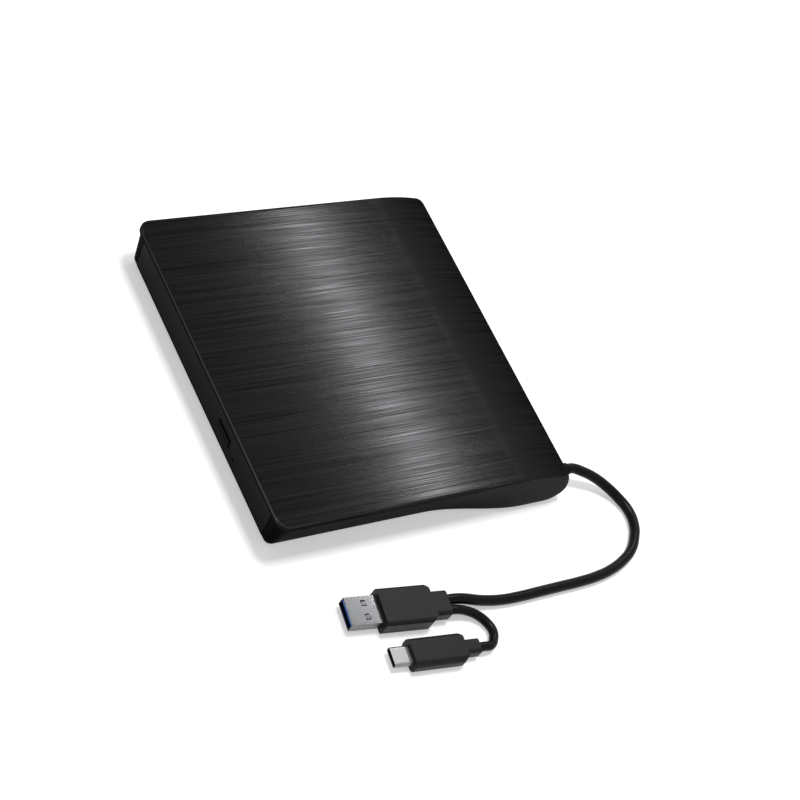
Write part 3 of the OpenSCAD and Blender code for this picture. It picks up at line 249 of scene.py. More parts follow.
def brushed_plate():
    """Near-black film with hairlines that run from front to rear.

    It has a painted sheen where it bends down, painted shade on its front edge but for a painted highlight
    along its rim, and is rougher along the outer edge of its sides and front corners.
    """
    material, shader, at = new_material("brushed_plate")
    broad = at.noise(at.stretched(at, (330.0, 1.2, 3.0)), 1.0, 1.0, 0.5)
    hair = at.noise(at.stretched(at, (2400.0, 9.0, 12.0), (7.0, 3.0, 0.0)), 1.0, 1.0, 0.5)
    finest = at.noise(at.stretched(at, (4300.0, 30.0, 40.0), (2.0, 9.0, 0.0)), 1.0, 2.0, 0.6)
    polish = at.noise(at.stretched(at, (3100.0, 14.0, 18.0), (5.0, 1.0, 0.0)), 1.0, 2.0, 0.6)
    lines = broad * 0.03 + hair * 0.47 + finest * 0.5
    tone = lines.above(0.37, 4.0)
    sheen = (lines * 0.6 + polish * 0.4).above(0.36, 3.8)
    x, y, z = at.axis(at, "X"), at.axis(at, "Y"), at.axis(at, "Z")
    # Painted highlight: a light line along the top of the front edge, brighter towards the near side
    near = (x * 6.0 + 0.5).clamped()
    # Painted sheen: the plate is lighter where it bends down at the rear
    bend = y.above(BEND_Y0, 125.0) * y.below(BEND_Y1, 45.0)
    # Painted shade: the plate's front edge is darkened for the shadowed gap below its overhang
    front = y.below(PLATE_FRONT_Y, 4000.0)
    rim = front * z.above(RIM_Z, 9000.0)
    colour = at.blend(tone, FILM_DARK, FILM_LIGHT)
    colour = at.blend(bend * 0.5, colour, BEND_SHEEN_COLOUR)
    colour = at.blend(front, colour, FRONT_SHADE_COLOUR)
    colour = at.blend(rim, colour, at.blend(near, RIM_HIGHLIGHT_FAR, RIM_HIGHLIGHT_NEAR))
    wide = at.math("ABSOLUTE", x)
    outer = wide.above(WORN_X, 800.0) * y.below(WORN_Y, 100.0)
    across = at.math("MAXIMUM", wide - CORNER_X, 0.0)
    ahead = at.math("MAXIMUM", CORNER_Y - y, 0.0)
    reach = at.math("SQRT", across * across + ahead * ahead)
    worn = outer * reach.above(CORNER_REACH, 4000.0)
    rough = (FILM_ROUGH - (sheen - 0.5) * SHEEN_DEPTH + worn * WORN_DEPTH).clamped()
    finish_shader(at, shader, colour, rough, at.bump(broad, 0.02, 0.00002), Metallic=1.0,
                  Specular_Tint=FILM_TINT)
    return material


def circuit_board():
    """Green lacquer over copper tracks."""
    material, shader, at = new_material("circuit_board")
    tracks = at.node("ShaderNodeTexBrick", {"offset": 0.37, "offset_frequency": 3, "squash": 1.6},
                     out="Fac", Vector=at, Scale=420.0, Mortar_Size=0.03, Mortar_Smooth=0.4, Bias=0.0,
                     Brick_Width=0.9, Row_Height=0.22)
    cloud = at.noise(at, 240.0, 3.0)
    share = (tracks * 0.7 + cloud * 0.3).clamped()
    colour = at.blend(share, (0.012, 0.09, 0.04), (0.05, 0.22, 0.1))
    finish_shader(at, shader, colour, 0.28 + cloud * 0.18, at.bump(tracks, 0.4, 0.00003))
    return material


def wound_copper():
    """Lacquered copper wire in close turns."""
    material, shader, at = new_material("wound_copper")
    turns = at.node("ShaderNodeTexWave", {"wave_type": "BANDS", "bands_direction": "X"}, out="Fac",
                    Vector=at, Scale=900.0, Distortion=0.6, Detail=1.0)
    colour = at.blend(turns, (0.16, 0.05, 0.02), (0.6, 0.26, 0.12))
    finish_shader(at, shader, colour, 0.3 + turns * 0.15, at.bump(turns, 0.6, 0.00005), Metallic=0.9)
    return material


def clear_part(name, tint, rough, amount, index=1.5):
    """Clear moulding, faintly hazy."""
    material, shader, at = new_material(name)
    haze = at.noise(at, 900.0, 3.0)
    shade = tuple(0.8 * c for c in tint)
    finish_shader(at, shader, at.blend(haze, tint, shade), rough + haze * 0.06,
                  Transmission_Weight=amount, IOR=index)
    return material


def flat_ribbon():
    """White ribbon with its conductors showing through."""
    material, shader, at = new_material("flat_ribbon")
    x = at.axis(at, "X")
    wires = (at.math("SINE", x * 6283.0) * 0.5 + 0.5) ** 3.0
    stain = at.noise(at, 120.0, 3.0)
    colour = at.blend(wires, (0.78, 0.78, 0.74), (0.5, 0.47, 0.38))
    finish_shader(at, shader, colour, 0.4 + stain * 0.12, at.bump(wires, 0.3, 0.00004))
    return material


def gold_strip():
    """Gilt contacts, rubbed along their length."""
    material, shader, at = new_material("gold_strip")
    rub = at.noise(at.stretched(at, (500.0, 60.0, 500.0)), 1.0, 4.0)
    finish_shader(at, shader, at.blend(rub, (0.72, 0.5, 0.2), (0.9, 0.7, 0.36)), 0.18 + rub * 0.2,
                  Metallic=1.0)
    return material


# Where painted shade darkens the case towards its front and the bezel along its lowest edge, in metres
CASE_SHADE_Y, CASE_SHADE_DEPTH, LIP_SHADE_Z = 0.045, 0.75, 0.0038


def painted_case_shade(at):
    """Painted shade, growing from the middle of the case to its front."""
    return at.axis(at, "Y").below(CASE_SHADE_Y, 25.0) * CASE_SHADE_DEPTH


def painted_lip_shade(at):
    """Painted shade along the bezel's lowest edge."""
    return at.axis(at, "Z").below(LIP_SHADE_Z, 2500.0)


PLATING_LINES, PLATING_DENT, PLATING_PATCHES = (90.0, 60.0, 400.0), 0.002, 0.05
M = {
    "plate": brushed_plate(),
    # Painted shade on the case, towards its front
    "case": moulded("case_satin", (0.0032, 0.0036, 0.0052), (0.0052, 0.0058, 0.008), 0.42, 3200.0,
                    gloss=0.05, painted_shade=painted_case_shade),
    # Painted shade along the bezel's lowest edge
    "bezel": moulded("bezel_satin", (0.0015, 0.0015, 0.0017), (0.003, 0.003, 0.0033), 0.36, 3000.0,
                     gloss=0.02, painted_shade=painted_lip_shade),
    "button": moulded("button_satin", (0.001, 0.001, 0.0011), (0.002, 0.002, 0.0022), 0.36, 3000.0,
                      gloss=0.01),
    "grommet": moulded("grommet_rubber", (0.0015, 0.0015, 0.0016), (0.003, 0.003, 0.0032), 0.5, 1600.0,
                       gloss=0.04),
    "tray": moulded("tray_grain", (0.008, 0.008, 0.009), (0.015, 0.015, 0.016), 0.5, 2200.0, 0.00004),
    "rubber": moulded("foot_rubber", (0.004, 0.004, 0.004), (0.009, 0.009, 0.009), 0.7, 1600.0, 0.00005),
    "lead": moulded("lead_sheath", (0.002, 0.002, 0.0022), (0.004, 0.004, 0.0043), 0.25, 1500.0, gloss=0.1),
    "plug": moulded("plug_overmould", (0.005, 0.005, 0.0053), (0.009, 0.009, 0.0095), 0.4, 2400.0, 0.00003,
                    0.16),
    "chip": moulded("chip_black", (0.008, 0.008, 0.009), (0.02, 0.02, 0.022), 0.5, 1900.0, 0.00003),
    "white": moulded("white_moulding", (0.6, 0.59, 0.54), (0.72, 0.71, 0.67), 0.42, 1800.0),
    "blue": moulded("blue_moulding", (0.01, 0.09, 0.46), (0.02, 0.16, 0.62), 0.3, 1500.0),
    "pad": moulded("friction_pad", (0.01, 0.01, 0.01), (0.03, 0.03, 0.03), 0.85, 900.0, 0.00008),
    "cast": moulded("cast_metal", (0.4, 0.39, 0.37), (0.55, 0.54, 0.51), 0.4, 1300.0, 0.00004, Metallic=0.9),
    "sheet": rolled("sheet_steel", (0.13, 0.132, 0.136), (0.21, 0.213, 0.217), 0.54),
    "steel": rolled("screw_steel", (0.46, 0.46, 0.47), (0.66, 0.66, 0.68), 0.28),
    "shell": rolled("plug_plating", (0.126, 0.128, 0.131), (0.145, 0.148, 0.152), 0.22, PLATING_LINES,
                    PLATING_DENT, PLATING_PATCHES),
    "small_shell": rolled("small_plug_plating", (0.236, 0.236, 0.239), (0.262, 0.262, 0.266), 0.3,
                          PLATING_LINES, PLATING_DENT, PLATING_PATCHES),
    "rod": rolled("rod_steel", (0.6, 0.6, 0.62), (0.78, 0.78, 0.8), 0.16, (40.0, 40.0, 900.0)),
    "board": circuit_board(),
    "copper": wound_copper(),
    "clear": clear_part("smoked_pipe", (0.003, 0.003, 0.0033), 0.42, 0.1, 1.12),
    "lens": clear_part("coated_lens", (0.5, 0.6, 0.95), 0.02, 0.85),
    "lamp": clear_part("lamp_resin", (0.75, 0.82, 0.95), 0.25, 0.4),
    "ribbon": flat_ribbon(),
    "gold": gold_strip(),
}


# Sizes of the case, in millimetres, as in the solids but for the finer roundings of its corners

FLOOR_Z, PLATE_Z, TOP_Z = 1.0, 18.0, 20.0
FRONT_Y, BEZEL_Y, NOSE_Y, PLATE_Y1 = -72.3, -71.7, 72.3, 69.7
PLATE_HW, UPPER_HW, LOWER_HW = 72.5, 72.0, 68.3
FRONT_R, FRONT_LOW_R, REAR_R, NOSE_R, BOTTOM_R = 5.5, 2.7, 3.0, 2.0, 2.5
PLATE_EDGE, PLATE_CURVE, PLATE_DROP = 0.45, 26.0, 4.0
FRONT_LEAN, WAVE_OUT, WAVE_LEN, WAVE_TO_NOSE = 2.2, 6.6, 47.0, 11.0
NOSE_RUN, NOSE_LOW, NOSE_HIGH, NOSE_UNDER, NOSE_OVER = 10.5, 7.6, 11.5, 5.0, 2.0
NOSE_Z = FLOOR_Z + NOSE_LOW
WAVE_Y1 = NOSE_Y - NOSE_RUN - WAVE_TO_NOSE
WAVE_Y0 = WAVE_Y1 - WAVE_LEN
CURVE_Y = PLATE_Y1 - PLATE_CURVE
CURVE_R = (PLATE_CURVE ** 2 + PLATE_DROP ** 2) / (2 * PLATE_DROP)
DISC_Y = -4.0
POST_X, POST_R, POST_Z = 67.6, 2.3, 8.6
HOOK_X0, HOOK_X1, HOOK_LEN, HOOK_Z = 64.1, 65.1, 7.0, 14.5
HOOK_YS = (-40.0, 10.4)
SCREW_HOLE_R, SCREW_HOLE_Z = 2.0, 2.2
FOOT_X, FOOT_HOLE_R, FOOT_HOLE_Z = 54.0, 5.05, 1.8
FOOT_YS = (-52.0, 44.0)
LEAD_X, LEAD_HOLE_R = 65.5, 3.0
# Where cutters end, clear of the case, and the height of the case's skin before it is cut to the plate
CLEAR_BELOW, CLEAR_SIDE, CLEAR_ABOVE = -1.0, 90.0, 40.0
SKIN_Z = PLATE_Z + 0.6
# How finely edges and walls are divided
PLATE_STEPS, CASE_STEPS, WALL_STEPS, CURVE_REACH, CURVE_STEPS = 70, 44, 18, 30.0, 24


def ease(t):
    t = max(0.0, min(1.0, t))
    return t * t * (3 - 2 * t)


def height_share(z):
    return (z - FLOOR_Z) / (PLATE_Z - FLOOR_Z)


def side_x(y, z):
    low = LOWER_HW + WAVE_OUT * ease((y - WAVE_Y0) / WAVE_LEN)
    return (1 - height_share(z)) * low + height_share(z) * UPPER_HW


def face_y(z):
    return BEZEL_Y + FRONT_LEAN * (1 - height_share(z))


def plate_fall(y):
    """How far the plate has dropped at a depth."""
    if y <= CURVE_Y:
        return 0.0
    return CURVE_R - math.sqrt(CURVE_R ** 2 - (y - CURVE_Y) ** 2)


def arc(cx, cy, r, start, stop, steps):
    """Points round a centre, from one angle to another in degrees."""
    turns = [math.radians(start + (stop - start) * k / steps) for k in range(steps + 1)]
    return [(cx + r * math.cos(a), cy + r * math.sin(a)) for a in turns]


def circle(cx, cy, r, sides):
    """Points all round a centre."""
    return arc(cx, cy, r, 0, 360 - 360 / sides, sides - 1)


# Mesh helpers

def piece_from(name, verts, faces):
    """A new object from points in millimetres."""
    mesh = bpy.data.meshes.new(name)
    mesh.from_pydata([tuple(c * MM for c in v) for v in verts], [], faces)
    mesh.validate()
    obj = bpy.data.objects.new(name, mesh)
    SCENE.collection.objects.link(obj)
    return obj


def rings_mesh(rings, caps=True):
    """Points and faces of a skin through rings of equal length, lowest first."""
    n = len(rings[0])
    verts = [p for ring in rings for p in ring]
    faces = []
    for k in range(len(rings) - 1):
        for s in range(n):
            t = (s + 1) % n
            faces.append((k * n + s, k * n + t, (k + 1) * n + t, (k + 1) * n + s))
    if caps:
        faces.append(tuple(range(n - 1, -1, -1)))
        faces.append(tuple((len(rings) - 1) * n + s for s in range(n)))
    return verts, faces


def add_prism(verts, faces, outline, z0, z1):
    """Adds an upright prism to a mesh in the making."""
    first = len(verts)
    more, made = rings_mesh([[(x, y, z) for x, y in outline] for z in (z0, z1)])
    verts.extend(more)
    faces.extend(tuple(first + i for i in face) for face in made)


def add_box(verts, faces, x0, x1, y0, y1, z0, z1):
    add_prism(verts, faces, [(x0, y0), (x1, y0), (x1, y1), (x0, y1)], z0, z1)


def apply_modifiers(obj):
    """Replaces the object's mesh by its evaluated one, and clears its modifiers."""
    graph = bpy.context.evaluated_depsgraph_get()
    graph.update()
    mesh = bpy.data.meshes.new_from_object(obj.evaluated_get(graph))
    obj.modifiers.clear()
    obj.data = mesh


def dress(obj, key, body, *nodes, degrees=35.0):
    """Gives a piece its finish and body, and hides the nodes that it stands for."""
    obj.data.materials.clear()
    obj.data.materials.append(M[key])
    if obj.type == "MESH":
        obj.data.shade_smooth()
        obj.data.set_sharp_from_angle(angle=math.radians(degrees))
        flat = obj.modifiers.new("flat_faces", "WEIGHTED_NORMAL")
        flat.keep_sharp = True
        apply_modifiers(obj)
    if body:
        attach(obj, body)
    if nodes:
        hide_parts(*nodes)
    return obj


SAME_POINT, SAME_FACE, SHARP_EDGE = 1e-6, 0.4, 32.0


def softened(node, key, body, width, segments=2):
    """A copy of a node's solid with its sharp edges eased."""
    obj = bpy.data.objects.new(node + "_eased", NODES[node].data.copy())
    SCENE.collection.objects.link(obj)
    shape = bmesh.new()
    shape.from_mesh(obj.data)
    bmesh.ops.remove_doubles(shape, verts=shape.verts, dist=SAME_POINT)
    bmesh.ops.dissolve_limit(shape, angle_limit=math.radians(SAME_FACE), verts=shape.verts, edges=shape.edges)
    shape.to_mesh(obj.data)
    shape.free()
    obj.data.normals_split_custom_set([(0, 0, 0)] * len(obj.data.loops))
    bevel = obj.modifiers.new("eased", "BEVEL")
    bevel.limit_method = "ANGLE"
    bevel.angle_limit = math.radians(SHARP_EDGE)
    bevel.width = width * MM
    bevel.segments = segments
    bevel.use_clamp_overlap = True
    apply_modifiers(obj)
    return dress(obj, key, body, node)


# Cords: the lead to the larger plug and the short second lead

def sweep(points, radius, name):
    """A round cord through points in millimetres."""
    curve = bpy.data.curves.new(name, "CURVE")
    curve.dimensions = "3D"
    curve.bevel_depth = radius * MM
    curve.bevel_resolution = 5
    curve.resolution_u = 8
    curve.use_fill_caps = True
    line = curve.splines.new("BEZIER")
    line.bezier_points.add(len(points) - 1)
    for target, point in zip(line.bezier_points, points):
        target.co = [c * MM for c in point]
        target.handle_left_type = target.handle_right_type = "AUTO"
    obj = bpy.data.objects.new(name, curve)
    SCENE.collection.objects.link(obj)
    return obj


def along(point, direction, reach):
    return tuple(p + reach * d for p, d in zip(point, direction))


def tip_way(yaw):
    """The way a plug points."""
    turn = math.radians(yaw)
    return (-math.sin(turn), -math.cos(turn), 0.0)


def side_way(yaw):
    """The way across a plug."""
    turn = math.radians(yaw)
    return (math.cos(turn), -math.sin(turn), 0.0)


LEAD_R, TAIL_R, SIDE_GAP = 2.2, 1.9, 0.2
LEAD_STRAIGHT, LEAD_INTO_PLUG, TAIL_OUT_OF_PLUG, TAIL_INTO_PLUG = 3.0, 7.0, 4.0, 3.0
PLUG_A, PLUG_A_YAW, PLUG_A_MID = (109.4, -7.5), 7.4, 4.2
PLUG_C, PLUG_C_YAW, PLUG_C_MID = (128.9, -2.5), 6.7, 3.3
LEAD_POINTS = [
    (67.5, 84, 5.6), (70.5, 90, 3.8), (75, 95.5, 1.8), (80.5, 99.5, 0.4), (87, 101.5, 0), (93.5, 100.5, 0),
    (99.5, 97, 0), (104.5, 92, 0), (108, 85.5, 0), (110.5, 78, 0), (112, 69, 0), (112.5, 59, 0),
    (112.5, 49, 0), (112.5, 39, 0), (112.5, 29, 0), (112, 19, 0.1), (110.6, 10, 0.7),
]
TAIL_POINTS = [
    (113.6, 1, 1.4), (116, 5.2, 0.5), (119.6, 8, 0), (123.6, 8.8, 0), (127.2, 7, 0.2), (129.2, 4.4, 0.8),
]
EXIT = (LEAD_X, 76.0, NOSE_Z)
lead_end = along((*PLUG_A, PLUG_A_MID), side_way(PLUG_A_YAW), -(TAIL_R + SIDE_GAP))
tail_start = along((*PLUG_A, PLUG_A_MID), side_way(PLUG_A_YAW), LEAD_R + SIDE_GAP)
tail_end = (*PLUG_C, PLUG_C_MID)
lead_route = [EXIT, along(EXIT, (0.0, 1.0, 0.0), LEAD_STRAIGHT)]
lead_route += [(x, y, h + LEAD_R) for x, y, h in LEAD_POINTS]
lead_route += [along(lead_end, tip_way(PLUG_A_YAW), -LEAD_INTO_PLUG), lead_end]
tail_route = [tail_start, along(tail_start, tip_way(PLUG_A_YAW), -TAIL_OUT_OF_PLUG)]
tail_route += [(x, y, h + TAIL_R) for x, y, h in TAIL_POINTS]
tail_route += [along(tail_end, tip_way(PLUG_C_YAW), -TAIL_INTO_PLUG), tail_end]
lead_cord = sweep(lead_route, LEAD_R, "lead_cord")
tail_cord = sweep(tail_route, TAIL_R, "tail_cord")
for cord, node in ((lead_cord, "lead"), (tail_cord, "tail_lead")):
    dress(cord, "lead", "case", node)


# Top plate

def plate_outline(inset):
    """Right half of the plate's edge, front to rear."""
    hw, y0, y1 = PLATE_HW - inset, FRONT_Y + inset, PLATE_Y1 - inset
    r0, r1 = FRONT_R - inset, REAR_R - inset
    sides = [y0 + r0 + (y1 - r1 - y0 - r0) * k / PLATE_STEPS for k in range(1, PLATE_STEPS)]
    front = arc(hw - r0, y0 + r0, r0, -90, 0, 10)
    rear = arc(hw - r1, y1 - r1, r1, 0, 90, 8)
    return front + [(hw, y) for y in sides] + rear


def make_plate():
    """The plate with its rounded edge, its screw posts and its hooks."""
    edge = PLATE_EDGE
    thick = TOP_Z - PLATE_Z
    levels = [(edge * 0.6, 0.0), (0.0, edge * 0.6), (0.0, thick - edge)]
    for degrees in (22.5, 45, 67.5, 90):
        turn = math.radians(degrees)
        levels.append((edge * (1 - math.cos(turn)), thick - edge * (1 - math.sin(turn))))
    levels.append((edge + 0.5, thick))
    rings = []
    for inset, height in levels:
        right = plate_outline(inset)
        loop = right + [(-x, y) for x, y in reversed(right)]
        rings.append([(x, y, PLATE_Z + height - plate_fall(y)) for x, y in loop])
    verts, faces = rings_mesh(rings, caps=False)
    half = len(plate_outline(0.0))
    n = 2 * half
    top = (len(rings) - 1) * n
    for s in range(half - 1):
        faces.append((top + s, top + s + 1, top + n - 2 - s, top + n - 1 - s))
        faces.append((s + 1, s, n - 1 - s, n - 2 - s))
    for side in (-1, 1):
        add_prism(verts, faces, circle(side * POST_X, WAVE_Y1, POST_R, 24), POST_Z, PLATE_Z)
        for y in HOOK_YS:
            x0, x1 = sorted((side * HOOK_X0, side * HOOK_X1))
            add_box(verts, faces, x0, x1, y, y + HOOK_LEN, HOOK_Z, PLATE_Z)
    return piece_from("plate", verts, faces)


dress(make_plate(), "plate", "case", "top_cover", degrees=25.0)


# Lower case

def case_outline(z):
    """Right half of the case's outline at a height, front to rear."""
    rise = max(0.0, BOTTOM_R - (z - FLOOR_Z))
    pull = BOTTOM_R - math.sqrt(max(0.0, BOTTOM_R ** 2 - rise ** 2))
    s = (z - NOSE_Z) / (NOSE_LOW if z < NOSE_Z else NOSE_HIGH)
    nose = NOSE_Y - NOSE_RUN + NOSE_RUN * math.sqrt(max(0.0, 1 - s * s))
    front = face_y(z) + pull
    r = FRONT_LOW_R + (FRONT_R - FRONT_LOW_R) * height_share(z) - pull
    rear_r = min(nose - WAVE_Y1, NOSE_R + (NOSE_UNDER if z < NOSE_Z else NOSE_OVER) * s * s)
    y0, y1 = front + r, nose - rear_r
    points = arc(side_x(y0, z) - pull - r, y0, r, -90, 0, 8)
    for k in range(1, CASE_STEPS):
        y = y0 + (y1 - y0) * k / CASE_STEPS
        points.append((side_x(y, z) - pull, y))
    return points + arc(side_x(y1, z) - pull - rear_r, y1, rear_r, 0, 90, 12)


def cut_away(obj, cutter):
    cut = obj.modifiers.new("cut", "BOOLEAN")
    cut.operation = "DIFFERENCE"
    cut.solver = "EXACT"
    cut.object = cutter
    apply_modifiers(obj)
    bpy.data.objects.remove(cutter)


# Half width, front, rear, bottom and top of each hollow: one for the drive, two behind it for the board and
# the nose, one behind the bezel, and the opening in front
CASE_HOLLOWS = [
    (66.5, -63.0, 65.3, 2.6, 30.0),
    (70.2, 43.75, 65.2, 2.7, 29.0),
    (70.1, 43.85, 68.1, 4.6, 28.0),
    (64.1, -67.4, -62.0, 2.6, 27.0),
    (64.0, -90.0, -66.6, -2.0, 26.0),
]


def make_case():
    """The lower case, skinned by height, then hollowed out, cut to the plate and drilled."""
    wall_z = FLOOR_Z + BOTTOM_R
    heights = [FLOOR_Z + BOTTOM_R * (1 - math.cos(math.radians(t))) for t in (0, 15, 30, 45, 60, 75, 90)]
    heights += [wall_z + (SKIN_Z - FLOOR_Z - BOTTOM_R) * k / WALL_STEPS for k in range(1, WALL_STEPS + 1)]
    rings = []
    for z in heights:
        right = case_outline(min(z, SKIN_Z))
        rings.append([(x, y, z) for x, y in right + [(-x, y) for x, y in reversed(right)]])
    obj = piece_from("lower_case", *rings_mesh(rings))
    for half, *rest in CASE_HOLLOWS:
        verts, faces = [], []
        add_box(verts, faces, -half, half, *rest)
        cut_away(obj, piece_from("hollow", verts, faces))
    depths = [-CLEAR_SIDE] + [CURVE_Y + CURVE_REACH * k / CURVE_STEPS for k in range(CURVE_STEPS + 1)]
    low = [(y, PLATE_Z - plate_fall(y)) for y in depths]
    ring = low + [(depths[-1], CLEAR_ABOVE), (depths[0], CLEAR_ABOVE)]
    verts, faces = rings_mesh([[(x, y, z) for y, z in ring] for x in (-CLEAR_SIDE, CLEAR_SIDE)])
    cut_away(obj, piece_from("under_plate", verts, faces))
    verts, faces = [], []
    for side in (-1, 1):
        screw = circle(side * POST_X, WAVE_Y1, SCREW_HOLE_R, 24)
        add_prism(verts, faces, screw, CLEAR_BELOW, SCREW_HOLE_Z)
        for y in FOOT_YS:
            foot = circle(side * FOOT_X, y, FOOT_HOLE_R, 48)
            add_prism(verts, faces, foot, CLEAR_BELOW, FOOT_HOLE_Z)
    cut_away(obj, piece_from("holes_below", verts, faces))
    hole = circle(LEAD_X, NOSE_Z, LEAD_HOLE_R, 36)
    verts, faces = rings_mesh([[(x, y, z) for x, z in reversed(hole)] for y in (60.0, CLEAR_SIDE)])
    cut_away(obj, piece_from("lead_hole", verts, faces))
    return obj


dress(make_case(), "case", "case", "bottom_case", degrees=28.0)


# Moulded and pressed pieces with eased edges

softened("tray_bezel", "bezel", "tray", 0.35, 3)
softened("eject_button", "button", "button", 0.35, 3)
softened("rubber_feet", "rubber", "case", 0.5, 3)
softened("lead_grommet", "grommet", "case", 0.35, 3)
softened("tray", "tray", "tray", 0.22)
softened("hub", "tray", "spindle", 0.3, 3)
softened("sled", "cast", "pickup", 0.2)
softened("lens_holder", "chip", "focus", 0.12)
softened("latch_lever", "white", "latch", 0.2)
softened("kick_plunger", "white", "kicker", 0.2)
plug_pieces = {
    "plug_a_body": softened("plug_a_body", "plug", "case", 0.45, 3),
    "plug_a_shell": softened("plug_a_shell", "shell", "case", 0.14),
    "plug_a_insert": softened("plug_a_insert", "blue", "case", 0.12),
    "plug_c_body": softened("plug_c_body", "plug", "case", 0.45, 3),
    "plug_c_shell": softened("plug_c_shell", "small_shell", "case", 0.12),
    "plug_c_insert": softened("plug_c_insert", "chip", "case", 0.08),
}


# Trees for what repeats or winds

def new_tree(name, **inputs):
    """Starts a Geometry Nodes tree with named inputs, and gives the sockets they come in by."""
    tree = bpy.data.node_groups.new(name, "GeometryNodeTree")
    face = tree.interface
    face.new_socket("Places", in_out="INPUT", socket_type="NodeSocketGeometry")
    for label, value in inputs.items():
        kind = "NodeSocketInt" if isinstance(value, int) else "NodeSocketFloat"
        face.new_socket(label, in_out="INPUT", socket_type=kind).default_value = value
    face.new_socket("Finish", in_out="INPUT", socket_type="NodeSocketMaterial")
    face.new_socket("Geometry", in_out="OUTPUT", socket_type="NodeSocketGeometry")
    start = tree.nodes.new("NodeGroupInput")
    return {socket.name: Socket(tree, socket) for socket in start.outputs if socket.name}


def end_tree(given, shape, turn_x, turn_y, turn_z):
    """Sets a shape on the places, turned, makes it real and gives it its finish."""
    turn = shape.node("ShaderNodeCombineXYZ", X=turn_x, Y=turn_y, Z=turn_z)
    turn = shape.node("FunctionNodeEulerToRotation", Euler=turn)
    many = shape.node("GeometryNodeInstanceOnPoints", Points=given["Places"], Instance=shape, Rotation=turn)
    real = shape.node("GeometryNodeRealizeInstances", Geometry=many)
    dressed = shape.node("GeometryNodeSetMaterial", Geometry=real, Material=given["Finish"])
    end = shape.tree.nodes.new("NodeGroupOutput")
    shape.tree.links.new(dressed.socket, end.inputs["Geometry"])
    return shape.tree


def joined(*shapes):
    made = shapes[0].tree.nodes.new("GeometryNodeJoinGeometry")
    for shape in shapes:
        shape.tree.links.new(shape.socket, made.inputs[0])
    return Socket(shapes[0].tree, made.outputs[0])


def moved(shape, x=None, y=None, z=None):
    """Sets the points of a shape to new coordinates."""
    place = shape.node("ShaderNodeCombineXYZ", X=x, Y=y, Z=z)
    return shape.node("GeometryNodeSetPosition", Geometry=shape, Position=place)


def spot(given):
    """The coordinates of the points that a tree is working on."""
    place = given["Places"].node("GeometryNodeInputPosition")
    return [place.axis(place, letter) for letter in "XYZ"]


def threaded_rod(given):
    """A rod below the origin with a thread cut into it and a tapered tip."""
    radius, length = given["Radius"], given["Length"]
    x, y, z = spot(given)
    rod = radius.node("GeometryNodeMeshCylinder", Vertices=18, Side_Segments=given["Rings"], Radius=radius,
                      Depth=length)
    low = z - length * 0.5
    around = x.math("ARCTAN2", y, x) / (2 * math.pi)
    phase = x.math("FRACT", (low / given["Lead"] + around) * given["Starts"])
    groove = x.math("ABSOLUTE", phase * 2.0 - 1.0)
    taper = ((low + length) / radius * 0.4 + 0.55).clamped()
    share = (1.0 - groove * given["Depth"] / radius) * taper
    return moved(rod, x * share, y * share, low)


def screw_tree():
    """Screws with a domed, crossed head, each turned by chance."""
    given = new_tree("screws", Radius=0.001, Length=0.005, Rings=40, Lead=0.0005, Starts=1,
                     Depth=0.0002, Head=0.0018, Height=0.001, Flip=0.0, Seed=3)
    tree = given["Places"].tree
    head_r, height = given["Head"], given["Height"]
    x, y, z = spot(given)
    head = head_r.node("GeometryNodeMeshCylinder", Vertices=28, Side_Segments=2, Radius=head_r, Depth=height)
    top = x.math("GREATER_THAN", z, height * 0.4)
    share = 1.0 - top * 0.24
    head = moved(head, x * share, y * share, z + height * 0.5 + (z + height) * 0.1)
    slots = []
    for wide, deep in ((1.25, 0.3), (0.3, 1.25)):
        size = head_r.node("ShaderNodeCombineXYZ", X=head_r * wide, Y=head_r * deep, Z=height * 1.3)
        slot = head_r.node("GeometryNodeMeshCube", Size=size)
        slots.append(moved(slot, x, y, z + height * 1.1))
    cut = tree.nodes.new("GeometryNodeMeshBoolean")
    cut.operation = "DIFFERENCE"
    tree.links.new(head.socket, cut.inputs["Mesh 1"])
    for slot in slots:
        tree.links.new(slot.socket, cut.inputs["Mesh 2"])
    screw = joined(Socket(tree, cut.outputs["Mesh"]), threaded_rod(given))
    turn = x.node("FunctionNodeRandomValue", {"data_type": "FLOAT"}, out=1, i2=0.0, i3=3.0,
                  Seed=given["Seed"])
    return end_tree(given, screw, given["Flip"], 0.0, turn)


def rod_tree():
    """A threaded rod that leans over and points along a heading."""
    given = new_tree("threaded_rod", Radius=0.001, Length=0.04, Rings=200, Lead=0.003, Starts=2,
                     Depth=0.0002, Lean=0.0, Heading=0.0)
    return end_tree(given, threaded_rod(given), 0.0, given["Lean"], given["Heading"])


def strip_tree():
    """Contact strips with a sprung curve along their length."""
    given = new_tree("contact_strips", Length=0.004, Width=0.0004, Thickness=0.0001, Bend=0.0003,
                     Taper=0.45, Heading=0.0)
    length = given["Length"]
    x, y, z = spot(given)
    size = length.node("ShaderNodeCombineXYZ", X=length, Y=given["Width"], Z=given["Thickness"])
    bar = length.node("GeometryNodeMeshCube", Size=size, Vertices_X=12, Vertices_Y=3)
    share = x / length + 0.5
    narrow = 1.0 - share ** 4.0 * given["Taper"]
    bar = moved(bar, x, y * narrow, z + given["Bend"] * share * share)
    return end_tree(given, bar, 0.0, 0.0, given["Heading"])


